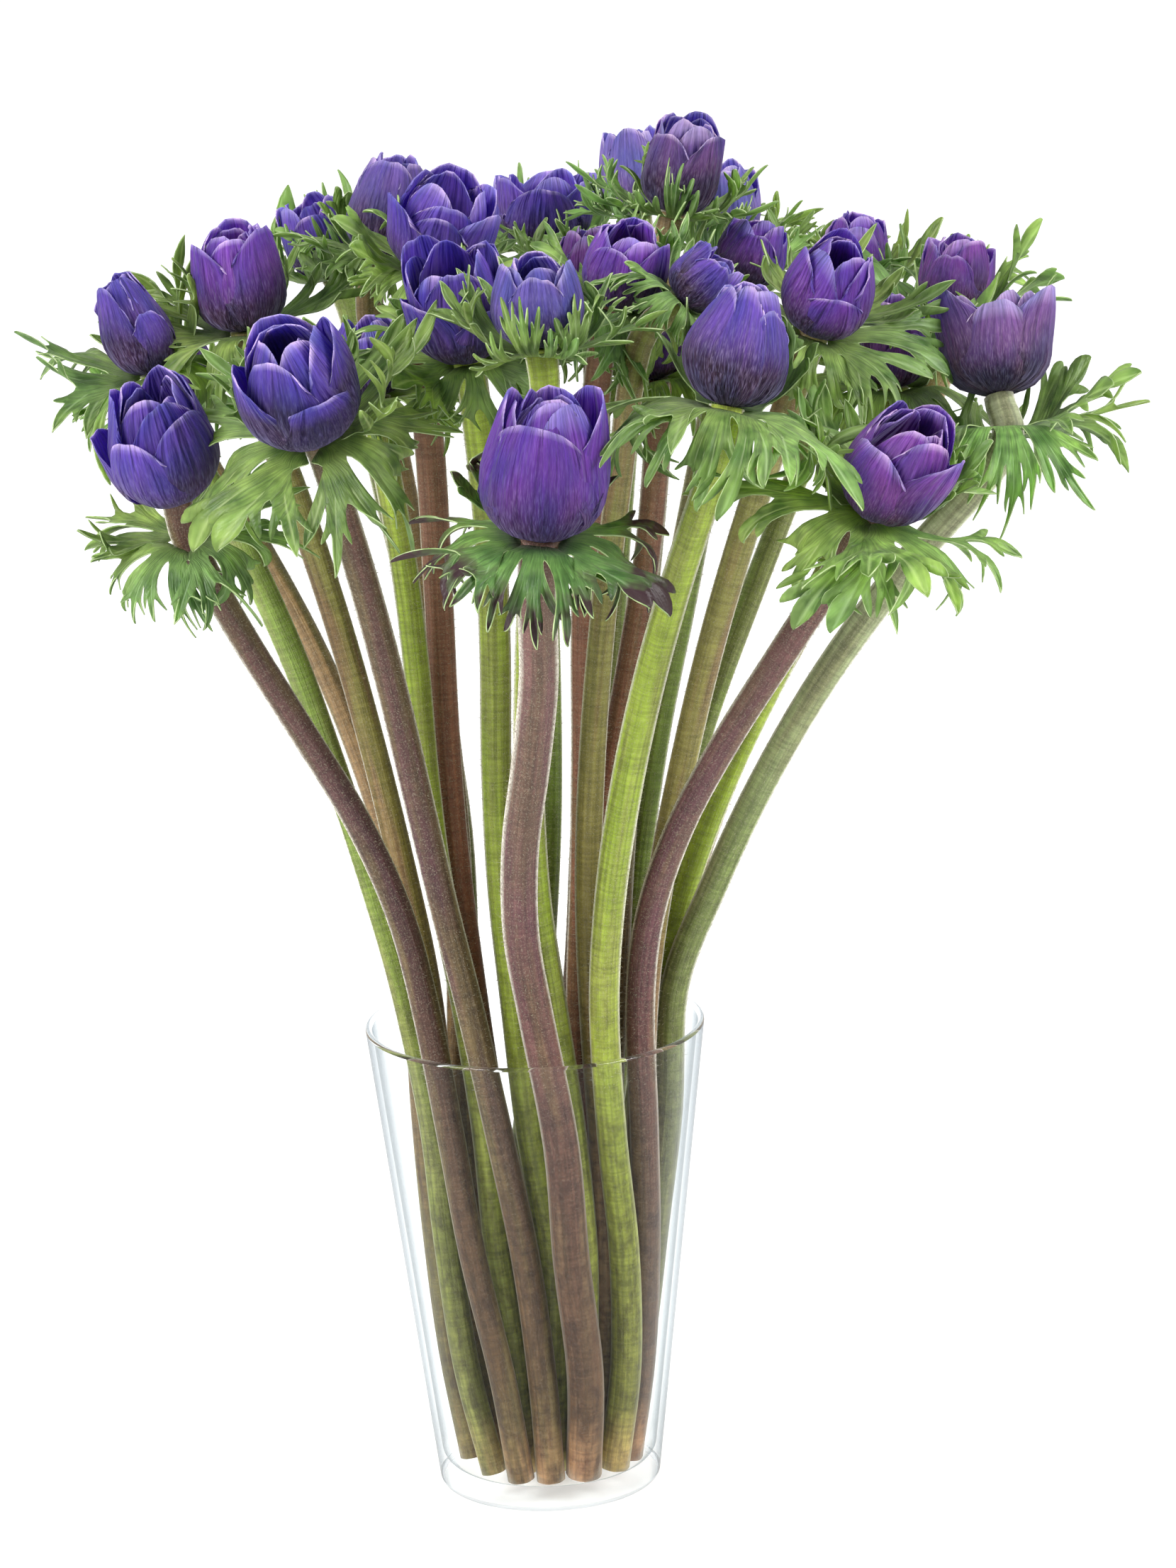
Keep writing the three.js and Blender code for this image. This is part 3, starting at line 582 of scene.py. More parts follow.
def thinGlass(name):
    # The clear wall of the vase: what is behind it shows unbent, and it mirrors more the flatter it
    # is seen; where the look runs along the wall the glass is faintly grey
    material, tree = newMaterial(name)
    slant = addNode(tree, "LayerWeight", Blend=0.5).outputs["Facing"]
    flatter = addNode(tree, "Math", {0: slant, 1: 5.0}, operation="POWER")
    mirror = addNode(tree, "MapRange", {"Value": flatter}, To_Min=0.008, To_Max=0.9)
    lengthwise = addNode(tree, "ValToRGB", {"Fac": slant},
                         stops=((0.64, linear("#fdfefe")), (0.95, linear("#b2bec5"))))
    clear = addNode(tree, "BsdfTransparent", {"Color": lengthwise})
    gloss = addNode(tree, "BsdfAnisotropic", Color=linear("#ffffff"), Roughness=0.0)
    both = addNode(tree, "MixShader", {0: mirror, 1: clear, 2: gloss})
    addNode(tree, "OutputMaterial", {"Surface": both})
    return material


def thickGlass(name, bending):
    # The fire-polished rim and the heavy foot: they bend the light into grey and white lines
    material, tree = newMaterial(name)
    where = addNode(tree, "TexCoord").outputs["Object"]
    waves = addNode(tree, "TexNoise", {"Vector": where}, Scale=28.0, Detail=1.0)    # 36 mm long
    relief = addNode(tree, "Bump", {"Height": waves}, Strength=0.1, Distance=0.002)
    glass = addNode(tree, "BsdfPrincipled", {"Normal": relief}, Base_Color=linear("#ffffff"),
                    Roughness=0.0, IOR=bending, Transmission_Weight=1.0)
    clear = addNode(tree, "BsdfTransparent", Color=linear("#fdfefe"))
    rays = addNode(tree, "LightPath")
    both = addNode(tree, "MixShader", {0: rays.outputs["Is Shadow Ray"], 1: glass, 2: clear})
    addNode(tree, "OutputMaterial", {"Surface": both})
    return material


petalMaterials = {tone: petalPair(tone) for tone in petalFinish["tones"]}
leafMaterials = {
    "fresh": leafTissue("anemone leaf tissue", leafFinish["fresh"]),
    "flushed": leafTissue("anemone leaf tissue, flushed tips", leafFinish["flushed"]),
}
stemMaterials = {tone: stemTissue(f"{tone} stem tissue", *colours)
                 for tone, colours in stemFinish["tones"].items()}
# the thin edge of a leaf, with a line of fine hairs: pale green, in stretches of 4 mm
marginMaterial = mottledTissue("pale leaf margin", 250.0, 1.0, ((0.35, "#86a45e"), (0.65, "#bccf96")), 0.5)
# fresh cut across a fleshy stem: pale and tan fibres of 1.1 mm, moist
cutMaterial = mottledTissue("cut stem end", 900.0, 3.0, ((0.35, "#a8784a"), (0.65, "#dcc08c")), 0.4, bump=0.5)
# fine white plant hairs: bright when the light comes from behind, their tone changes over 3.3 mm
hairMaterial = mottledTissue("white stem hairs", 300.0, 2.0, ((0.3, "#bdb79c"), (0.7, "#e6e1cd")), 0.5,
                             glow=0.5)
# pollen-bearing heart: almost black violet, dusty, with grains of 0.7 mm
heartMaterial = mottledTissue("dark anthers and seed head", 1500.0, 2.0,
                              ((0.35, "#120c1e"), (0.7, "#2e2348")), 0.7, bump=0.8)
glassMaterials = (thinGlass("clear glass wall"), thickGlass("fire-polished glass rim", 1.45),
                  thickGlass("heavy glass foot", 1.16))
print("materials made")


# The vase, in millimetres: a cylinder widened at its top, hollowed by inset and extrude, and rounded
vaseSettings = {
    "height": 173, "footRadius": 40, "rimRadius": 61, "wall": 2.4, "floor": 8, "sides": 144,
    "footRound": 2.5, "rimRound": 1.15, "innerRound": 5, "smoothAngle": 35,
}


def vaseRadius(z):
    s = vaseSettings
    return s["footRadius"] + (s["rimRadius"] - s["footRadius"]) * z / s["height"]


def liesOn(edge, level, radius):
    # whether an edge runs round the vase at this level and radius
    return all(abs(v.co.z / mm - level) < 1 and abs(v.co.xy.length / mm - radius) < 0.3 for v in edge.verts)


def makeVase():
    s = vaseSettings
    deselectAll()
    bpy.ops.mesh.primitive_cylinder_add(vertices=s["sides"], radius=s["footRadius"] * mm,
                                        depth=s["height"] * mm, location=(0, 0, s["height"] * mm / 2))
    vase = bpy.context.object
    vase.name = "glass_vase"
    bpy.ops.object.transform_apply(location=True)
    selectWhere(vase, lambda face: face.normal.z > 0.9)
    widen = s["rimRadius"] / s["footRadius"]
    bpy.ops.transform.resize(value=(widen, widen, 1), center_override=(0, 0, s["height"] * mm))
    bpy.ops.mesh.inset(thickness=s["wall"] * mm, depth=0)
    innerFoot = vaseRadius(s["floor"]) - s["wall"]
    innerRim = s["rimRadius"] - s["wall"]
    narrow = innerFoot / innerRim
    sink = (0, 0, (s["floor"] - s["height"]) * mm)
    bpy.ops.mesh.extrude_region_move(TRANSFORM_OT_translate={"value": sink})
    bpy.ops.transform.resize(value=(narrow, narrow, 1), center_override=(0, 0, s["floor"] * mm))
    bpy.ops.object.mode_set(mode="OBJECT")
    for level, radius, size, steps in (
            (0, s["footRadius"], s["footRound"], 5), (s["floor"], innerFoot, s["innerRound"], 6),
            (s["height"], s["rimRadius"], s["rimRound"], 5), (s["height"], innerRim, s["rimRound"], 5)):
        selectWhere(vase, lambda edge, level=level, radius=radius: liesOn(edge, level, radius), "EDGE")
        bpy.ops.mesh.bevel(offset=size * mm, segments=steps, profile=0.5, affect="EDGES")
        bpy.ops.object.mode_set(mode="OBJECT")
    turnOutwards(vase)
    setMaterials(vase, *glassMaterials)
    # wall, rim and foot, which takes the floor's edge but not the face it stands on
    for face in vase.data.polygons:
        high = face.center.z / mm
        rim, foot = high > s["height"] - s["rimRound"] - 0.1, 0.3 < high < s["floor"] + 0.1
        face.material_index = 1 if rim else 2 if foot else 0
    finishPiece(vase, "vase")
    pickOnly(vase)
    bpy.ops.object.shade_smooth_by_angle(angle=math.radians(s["smoothAngle"]))


makeVase()
print("vase made")


# The stems: a ribbed profile drawn along the middle line of each packed stem, in millimetres
stemSettings = {
    "profileSides": 24, "ribs": 7, "ribDepth": 0.035, "stepsPerStretch": 5,
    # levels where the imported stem's middle is read, and the gaps to the floor and to the bloom
    "lowest": 13.0, "vaseLevels": (50, 95, 140, 188), "levelsAbove": 4, "floorGap": 0.4,
    "tiltRoom": 1.1, "topGap": 0.2,
    "waver": 0.03, "waverLength": 41, "swell": 0.1, "swellLength": 7,
    "hollowWall": 0.42, "hollowDepth": 5.0,
    "hairsPerStem": 1500, "hairLength": (1.0, 1.9), "hairWidth": 0.14, "hairsAbove": 160,
    "hairScatter": 0.25, "hairRise": 0.1, "hairRoot": 0.1, "hairSeed": 900,
    "patternShift": 500,    # from one stem to the next, so that no two look alike
}


def sliceCentre(edges, height):
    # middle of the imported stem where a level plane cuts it
    a, b = edges[:, 0], edges[:, 1]
    cut = (a[:, 2] - height) * (b[:, 2] - height) < 0
    a, b = a[cut], b[cut]
    share = (height - a[:, 2]) / (b[:, 2] - a[:, 2])
    at = (a + (b - a) * share[:, None])[:, :2]
    middle = at.mean(0)
    order = np.argsort(np.arctan2(at[:, 1] - middle[1], at[:, 0] - middle[0]))
    x, y = at[order].T
    nextX, nextY = np.roll(x, -1), np.roll(y, -1)
    cross = x * nextY - nextX * y
    return np.array([((x + nextX) * cross).sum(), ((y + nextY) * cross).sum()]) / (3 * cross.sum())


def stemLine(own):
    s = stemSettings
    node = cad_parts["leafy_stem_" + own["number"]]
    places = points(node.data) / mm
    node.data.calc_loop_triangles()
    corners = np.array([t.vertices[:] for t in node.data.loop_triangles])
    edges = places[np.vstack([corners[:, [0, 1]], corners[:, [1, 2]], corners[:, [2, 0]]])]
    neck = own["base"] - own["axis"] * headSettings["neck"]
    start = s["vaseLevels"][-1]
    levels = [s["lowest"], *s["vaseLevels"]]
    levels += [start + (neck[2] - start) * k / (s["levelsAbove"] + 1) for k in range(1, s["levelsAbove"] + 1)]
    line = [np.array([*sliceCentre(edges, level), level]) for level in levels]
    slope = line[1] - line[0]
    slope /= np.linalg.norm(slope)
    tilted = own["radius"] * math.hypot(slope[0], slope[1]) * s["tiltRoom"]
    lowest = vaseSettings["floor"] + s["floorGap"] + tilted
    line[0] = line[0] + slope * (lowest - line[0][2]) / slope[2]
    line.append(neck)
    line.append(own["base"] - own["axis"] * s["topGap"])
    return throughPoints(line, s["stepsPerStretch"])


def stemProfile():
    # a closed curve with shallow ribs, drawn from a curve circle
    s = stemSettings
    deselectAll()
    bpy.ops.curve.primitive_bezier_circle_add(radius=1)
    profile = bpy.context.object
    profile.name = "stemProfile"
    profile.data.splines.clear()
    ring = profile.data.splines.new("POLY")
    ring.points.add(s["profileSides"] - 1)
    for i in range(s["profileSides"]):
        turn = 2 * math.pi * i / s["profileSides"]
        reach = 1 - s["ribDepth"] * (1 + math.cos(turn * s["ribs"])) * 0.5
        ring.points[i].co = (reach * math.cos(turn), reach * math.sin(turn), 0, 1)
    ring.use_cyclic_u = True
    return profile


def hairTemplate():
    deselectAll()
    bpy.ops.mesh.primitive_cone_add(vertices=3, radius1=0.5, radius2=0, depth=1, location=(0, 0, 0.5))
    hair = bpy.context.object
    bpy.ops.object.transform_apply(location=True)
    shape, faces = points(hair.data), [list(p.vertices) for p in hair.data.polygons]
    bpy.data.objects.remove(hair)
    return shape, faces


def addHairs(own, piece, shape, faces):
    # short white hairs, one small cone copied over the stem, standing out and a little upwards
    s = stemSettings
    mesh = piece.data
    mesh.calc_loop_triangles()
    tri = points(mesh)[np.array([t.vertices[:] for t in mesh.loop_triangles])]
    origin, first, second = tri[:, 0], tri[:, 1] - tri[:, 0], tri[:, 2] - tri[:, 0]
    normal = np.cross(first, second)
    area = np.linalg.norm(normal, axis=1)
    normal /= np.maximum(area, 1e-12)[:, None]
    weight = np.where((tri[:, :, 2].mean(1) > s["hairsAbove"] * mm) & (area > 1e-9), area, 0)
    rng = np.random.default_rng(s["hairSeed"] + int(own["number"]))
    picks = rng.choice(len(tri), size=s["hairsPerStem"], p=weight / weight.sum())
    a, b = rng.random(len(picks)), rng.random(len(picks))
    flip = a + b > 1
    a[flip], b[flip] = 1 - a[flip], 1 - b[flip]
    at = origin[picks] + first[picks] * a[:, None] + second[picks] * b[:, None]
    out = unit(normal[picks] + rng.normal(0, s["hairScatter"], (len(picks), 3)) + (0, 0, s["hairRise"]))
    wideways = unit(np.cross(out, rng.normal(0, 1, (len(picks), 3))))
    thickways = np.cross(out, wideways)
    length = rng.uniform(*s["hairLength"], len(picks)) * mm
    width = s["hairWidth"] * mm
    x, y, z = shape.T[:, None, :, None]
    every = ((at - out * s["hairRoot"] * mm)[:, None, :]
             + width * (x * wideways[:, None, :] + y * thickways[:, None, :])
             + z * length[:, None, None] * out[:, None, :])
    count = len(shape)
    allFaces = [[v + k * count for v in face] for k in range(len(picks)) for face in faces]
    hairMesh = bpy.data.meshes.new("hairs")
    hairMesh.from_pydata(every.reshape(-1, 3).tolist(), [], allFaces)
    hairs = bpy.data.objects.new("hairs", hairMesh)
    bpy.context.scene.collection.objects.link(hairs)
    hairMesh.materials.append(hairMaterial)
    return hairs


def makeStem(own, profile, hair):
    s = stemSettings
    number, radius, sides = own["number"], own["radius"], s["profileSides"]
    line = stemLine(own)
    deselectAll()
    bpy.ops.curve.primitive_nurbs_path_add()
    curve = bpy.context.object.data
    curve.splines.clear()
    run = curve.splines.new("POLY")
    run.points.add(len(line) - 1)
    along = np.concatenate([[0], np.cumsum(np.linalg.norm(np.diff(line, axis=0), axis=1))])
    phase = own["chance"].uniform(0, 6.28)
    toCollar = np.linalg.norm(line - own["collar"], axis=1)
    for i, place in enumerate(line):
        thick = (1 + s["waver"] * math.sin(along[i] / s["waverLength"] + phase)
                 + s["swell"] * math.exp(-(toCollar[i] / s["swellLength"]) ** 2))
        run.points[i].co = (*(place * mm), 1)
        run.points[i].radius = radius * mm * thick
    curve.dimensions = "3D"
    curve.twist_mode = "MINIMUM"
    curve.bevel_mode = "OBJECT"
    curve.bevel_object = profile
    curve.use_fill_caps = False
    bpy.ops.object.convert(target="MESH")
    piece = bpy.context.object
    # round the stem and along it, in millimetres
    turn = np.arange(sides) * 2 * np.pi / sides
    place = np.zeros((len(line), sides, 3))
    place[..., 0] = np.cos(turn)[None] * radius
    place[..., 1] = np.sin(turn)[None] * radius
    place[..., 2] = along[:, None] + s["patternShift"] * int(number)
    writeAttribute(piece.data, "stemPlace", "FLOAT_VECTOR", place.reshape(-1, 3))
    setMaterials(piece, stemMaterials[stemFinish["looks"].get(number, own["stemTone"])], cutMaterial)
    # hollow cut end: fill, inset and push up; the top is closed under the bloom
    for first, hollow in ((0, True), (len(line) - 1, False)):
        ends = set(range(first * sides, (first + 1) * sides))
        selectWhere(piece, lambda vert: vert.index in ends, "VERT")
        bpy.ops.mesh.edge_face_add()
        if hollow:
            bpy.ops.mesh.select_mode(type="FACE")
            bpy.context.object.active_material_index = 1
            bpy.ops.object.material_slot_assign()
            bpy.ops.mesh.inset(thickness=radius * s["hollowWall"] * mm, depth=0)
            inward = (line[1] - line[0]) / np.linalg.norm(line[1] - line[0]) * s["hollowDepth"] * mm
            bpy.ops.mesh.extrude_region_move(TRANSFORM_OT_translate={"value": tuple(inward)})
        bpy.ops.object.mode_set(mode="OBJECT")
    turnOutwards(piece)
    piece = joinPieces([piece, addHairs(own, piece, *hair)], "stem_" + number)
    finishPiece(piece, "leafy_stem_" + number)


profile = stemProfile()
hair = hairTemplate()
for own in flowers:
    makeStem(own, profile, hair)
bpy.data.objects.remove(profile)
print("stems made")


# The leaves: a few flat cut leaves grown by extruding, then laid round each collar
leafSettings = {
    "templates": 6, "perFlower": 4, "thickness": 0.45, "seed": 70,
    # a flat leaf of reach 1: half width at the collar, the fan of its first row, the turn between
    # segments, and the rows before the lobes: distance, half width, arch, share of the lift
    "baseHalf": 0.22, "fan": 0.9, "fanHalf": 0.22, "fanFrom": 0.04, "fanArch": 0.14, "spread": 0.88,
    "rows": ((0.16, 0.1, 0.3, 0.35), (0.15, 0.148, 0.45, 0.8)),
    # edges of each lobe in the three segments: 2 is a plain lobe, 4 a toothed one
    "plans": (((4, 4, 2), (4, 4, 4), (2, 4, 4)), ((2, 4, 4), (4, 4, 4), (4, 4, 2)),
              ((4, 4, 4), (2, 4, 4), (4, 4, 2))),
    "segmentReach": (0.88, 1.0, 0.88), "segmentVary": (0.93, 1.06), "turnVary": 0.08,
    "sideLift": (-0.25, 0.35), "middleLift": (-0.1, 0.2),
    # lobes and teeth: how they spread, reach and lift, and their half widths from root to tip
    "lobeSpread": 0.72, "lobeReach": (0.47, 0.09), "lobeVary": (0.86, 1.12), "tipLift": (-0.38, 0.34),
    "twigSteps": (0.3, 0.27, 0.24, 0.19), "twist": 0.2,
    "plainReach": 0.9, "plainHalves": (0.044, 0.046, 0.034, 0.002),
    "lobeMiddle": 0.42, "lobeHalf": 0.066, "lobeArch": 0.25, "lobeLift": 0.4,
    "toothTurn": (0.35, 0.6), "toothReach": (0.6, 0.9), "toothHalves": (0.02, 0.002), "toothLift": 0.3,
    "longReach": (0.75, 0.95), "longHalves": (0.036, 0.027, 0.002), "longBend": 0.12,
    # how a leaf leaves the collar: rise, droop for each millimetre (and more towards the viewer),
    # steepest way down, tilt, room to the next head, fold at the ribs, gap to the bloom
    "bow": 0.15, "droop": (0.012, 0.034), "steepest": -1.4, "sidewaysDroop": 0.01,
    "tilt": (-0.05, 0.4), "backTilt": 0.35, "levelling": 0.6, "openRoom": 400.0, "overlap": 6.0,
    "fold": 1.5, "spare": 0.8, "steps": 12, "sizeVary": (1.0, 1.16), "aimVary": 0.15,
    # how much narrower the foremost leaf is, and how steeply and for how long a hanging leaf sets off
    "frontNarrow": 0.7, "perk": 0.5, "perkLength": 9, "veinFan": 22, "wave": 0.06,
    # how far a leaf faces the viewer, from -1 to 1, to be foremost, to hang, or to count as behind
    "foremost": 0.85, "hanging": -0.45, "behind": -0.2,
    # the cone under the petals that a leaf stays below: from and to which share of the half width,
    # its rise as a share of the bloom's height, its gap and the room round it
    "cone": (0.3, 0.9), "coneRise": 0.24, "coneGap": 0.3, "coneRoom": 0.6,
    # leaf size of single flowers against the rest
    "sizes": {"04": 0.85, "05": 0.9, "07": 0.85, "09": 0.8, "10": 1.1, "14": 0.85, "15": 0.7, "16": 0.8,
              "17": 1.1, "18": 1.25, "20": 1.2, "24": 1.25, "26": 0.92, "28": 1.15},
    # where the leaves of some rings point (0 is the viewer, + is right)
    "aims": {"07": (-20, 70, 160, 250), "08": (-80, 48, 112, 200), "09": (-45, 45, 135, 225),
             "13": (0, 90, 180, 270), "21": (0, 90, 180, 270), "26": (-5, 85, 175, 265),
             "27": (-40, 50, 140, 230)},
    # the leaf of a ring that stands up, and its tilt
    "standing": {"08": (2, 0.85)},
    "flushed": ("13",), "rising": ("03", "07", "12", "14", "15", "16", "23"),
}


def extrudeRow(mesh, row, centre, heading, half, arch=0.0):
    # extrudes a row of vertices and lays the new row square to its heading, arched by its share
    shape = bmesh.from_edit_mesh(mesh)
    shape.verts.ensure_lookup_table()
    for item in (*shape.faces, *shape.edges, *shape.verts):
        item.select = False
    for a, b in zip(row, row[1:]):
        shape.edges.get((shape.verts[a], shape.verts[b])).select = True
    shape.select_flush_mode()
    bmesh.update_edit_mesh(mesh)
    bpy.ops.mesh.extrude_region_move()
    shape = bmesh.from_edit_mesh(mesh)
    shape.verts.index_update()
    shape.verts.ensure_lookup_table()
    fresh = []
    for k, i in enumerate(row):
        mates = [edge.other_vert(shape.verts[i]) for edge in shape.verts[i].link_edges]
        vert = next(m for m in mates if m.select and m.index not in row)
        t = 2 * k / (len(row) - 1) - 1
        ahead, across = -arch * half * t * t, half * t
        vert.co = (centre[0] + math.sin(heading) * ahead + math.cos(heading) * across,
                   centre[1] + math.cos(heading) * ahead - math.sin(heading) * across, 0)
        fresh.append(vert.index)
    bmesh.update_edit_mesh(mesh)
    return fresh


def onward(centre, heading, length):
    return (centre[0] + math.sin(heading) * length, centre[1] + math.cos(heading) * length)


def rowMiddle(mesh, row):
    shape = bmesh.from_edit_mesh(mesh)
    shape.verts.ensure_lookup_table()
    middle = sum((shape.verts[i].co for i in row), Vector()) / len(row)
    return (middle.x, middle.y)


def growTwig(mesh, row, heading, reach, halves, bend, marks, lift, tipLift):
    # a lobe or tooth tapering to a point; two edges wide it has a midrib between them
    s = leafSettings
    centre = rowMiddle(mesh, row)
    steps = s["twigSteps"][-len(halves):]
    for step, (share, half) in enumerate(zip(steps, halves)):
        centre = onward(centre, heading, reach * share)
        ribbed = len(row) > 2
        if ribbed:
            marks["rib"].add(row[1])
        row = extrudeRow(mesh, row, centre, heading, half)
        heading += bend
        if ribbed:
            marks["rib"].add(row[1])
        grown = (step + 1) / len(halves)
        for k, i in enumerate(row):
            side = 2 * k / (len(row) - 1) - 1
            marks["lift"][i] = (lift + (tipLift - lift) * grown
                                + tipLift * s["twist"] * side * half / halves[0])


def growLobe(mesh, row, aim, reach, marks, lift, tipLift, chance):
    # a toothed lobe, four edges wide: a long pointed tooth between two short ones
    s = leafSettings
    middle = onward(rowMiddle(mesh, row), aim, reach * s["lobeMiddle"])
    marks["rib"].add(row[2])
    row = extrudeRow(mesh, row, middle, aim, s["lobeHalf"], s["lobeArch"])
    marks["rib"].add(row[2])
    halfway = lift + (tipLift - lift) * s["lobeLift"]
    marks["lift"].update({i: halfway for i in row})
    for edge, way in ((row[:2], -1), (row[3:], 1)):
        growTwig(mesh, edge, aim + way * chance.uniform(*s["toothTurn"]),
                 reach * chance.uniform(*s["toothReach"]), s["toothHalves"], 0, marks, halfway,
                 tipLift + chance.uniform(-s["toothLift"], s["toothLift"]))
    growTwig(mesh, row[1:4], aim, reach * chance.uniform(*s["longReach"]), s["longHalves"],
             chance.uniform(-s["longBend"], s["longBend"]), marks, halfway, tipLift)


def leafTemplate(number):
    # Y outward, X across, reach 1. Rows of edges grow out from the collar, split into three webbed
    # segments, and then into toothed lobes
    s = leafSettings
    chance = random.Random(s["seed"] + number)
    plan = s["plans"][number % len(s["plans"])]
    deselectAll()
    bpy.ops.mesh.primitive_grid_add(x_subdivisions=sum(map(sum, plan)), y_subdivisions=1, size=1)
    leaf = bpy.context.object
    mesh = leaf.data
    co = points(mesh)
    far = co[:, 1] > 0
    share = co[:, 0] * 2
    co[~far] = np.stack([share[~far] * s["baseHalf"], 0 * share[~far], 0 * share[~far]], 1)
    fan = share[far] * s["fan"]
    co[far] = np.stack([s["fanHalf"] * np.sin(fan) / math.sin(s["fan"]),
                        s["fanFrom"] + s["fanArch"] * np.cos(fan), 0 * fan], 1)
    movePoints(mesh, co)
    row = [int(i) for i in np.where(far)[0][np.argsort(share[far])]]
    marks = {"rib": set(), "lift": {}}

    def varied():
        return chance.uniform(-s["turnVary"], s["turnVary"])

    bpy.ops.object.mode_set(mode="EDIT")
    bpy.ops.mesh.select_mode(type="EDGE")
    start = 0
    for segment, lobes in enumerate(plan):
        edges = sum(lobes)
        part = row[start:start + edges + 1]
        start += edges
        heading = (segment - 1) * s["spread"] + varied()
        stretch = s["segmentReach"][segment] * chance.uniform(*s["segmentVary"])
        lift = chance.uniform(*s["middleLift" if segment == 1 else "sideLift"])
        centre = rowMiddle(mesh, part)
        for distance, half, arch, lifted in s["rows"]:
            centre = onward(centre, heading, distance * stretch)
            part = extrudeRow(mesh, part, centre, heading, half, arch)
            marks["lift"].update({i: lift * lifted for i in part})
        first = 0
        for width in lobes:
            twig = part[first:first + width + 1]
            off = (first + width / 2 - edges / 2) / (edges / 2)
            first += width
            aim = heading + off * s["lobeSpread"] + varied()
            longest, shorter = s["lobeReach"]
            reach = stretch * (longest - shorter * abs(off)) * chance.uniform(*s["lobeVary"])
            tipLift = lift + chance.uniform(*s["tipLift"])
            if width == 2:
                growTwig(mesh, twig, aim, reach * s["plainReach"], s["plainHalves"], varied(),
                         marks, lift, tipLift)
            else:
                growLobe(mesh, twig, aim, reach, marks, lift, tipLift, chance)
    bpy.ops.object.mode_set(mode="OBJECT")
    rib, lift = np.zeros(len(mesh.vertices)), np.zeros(len(mesh.vertices))
    rib[list(marks["rib"])] = 1.0
    lift[list(marks["lift"])] = list(marks["lift"].values())
    writeAttribute(mesh, "rib", "FLOAT", rib)
    writeAttribute(mesh, "lift", "FLOAT", lift)
    return leaf


def leafPlaces(own, turn, length, tilt, droop, hangs):
    # a point of a leaf on the curve that leaves the collar in its direction, as in the part's source
    s = leafSettings
    out = np.cos(turn)[:, None] * own["side"] + np.sin(turn)[:, None] * own["back"]
    # how far it may go before it meets the next head
    start = own["collar"] + own["axis"] * own["tall"] * 0.4
    room = np.full(len(turn), s["openRoom"])
    for normal, reach in own["walls"]:
        closing = out @ normal
        room = np.where(closing > 0.05, np.minimum(
            room, (reach + s["overlap"] - normal @ start - 1) / np.maximum(closing, 0.05)), room)
    room = np.maximum(room, own["belly"] + headSettings["leafRoom"]) - own["disc"]
    levelling = -s["levelling"] * np.arcsin(np.clip(out[:, 2], -1, 1))
    step = np.maximum(length, 1e-4) / s["steps"]
    reach = np.full(len(turn), own["radius"])
    high = np.zeros(len(turn))
    inner, outer = (share * own["belly"] + s["spare"] for share in s["cone"])

    def bounded(distance):
        return distance / (1 + (distance / room) ** 4) ** 0.25

    for k in range(s["steps"]):
        distance = (k + 0.5) * step
        free = smoothStep(distance / own["belly"])
        natural = free * (own["rise"] + levelling + s["bow"] + tilt) - droop * distance
        natural = natural + hangs * s["perk"] * (1 - smoothStep(distance / s["perkLength"]))
        natural = np.maximum(natural, s["steepest"])
        gain = (bounded((k + 1) * step) - bounded(k * step)) / step
        bend = np.arccos(np.clip(gain, 0, 1))
        climb = natural - bend if hangs else np.maximum(natural, bend)
        reach = reach + step * np.cos(climb)
        high = high + step * np.sin(climb)
        # under the bloom it stays below the petals
        under = reach < own["belly"] + s["spare"] + s["coneRoom"]
        slope = np.clip((reach - inner) / (outer - inner), 0, 1)
        ceiling = own["stalk"] + slope * s["coneRise"] * own["tall"] - s["coneGap"]
        high = np.where(under, np.minimum(high, ceiling), high)
    return own["collar"] + out * reach[:, None] + own["axis"] * high[:, None]


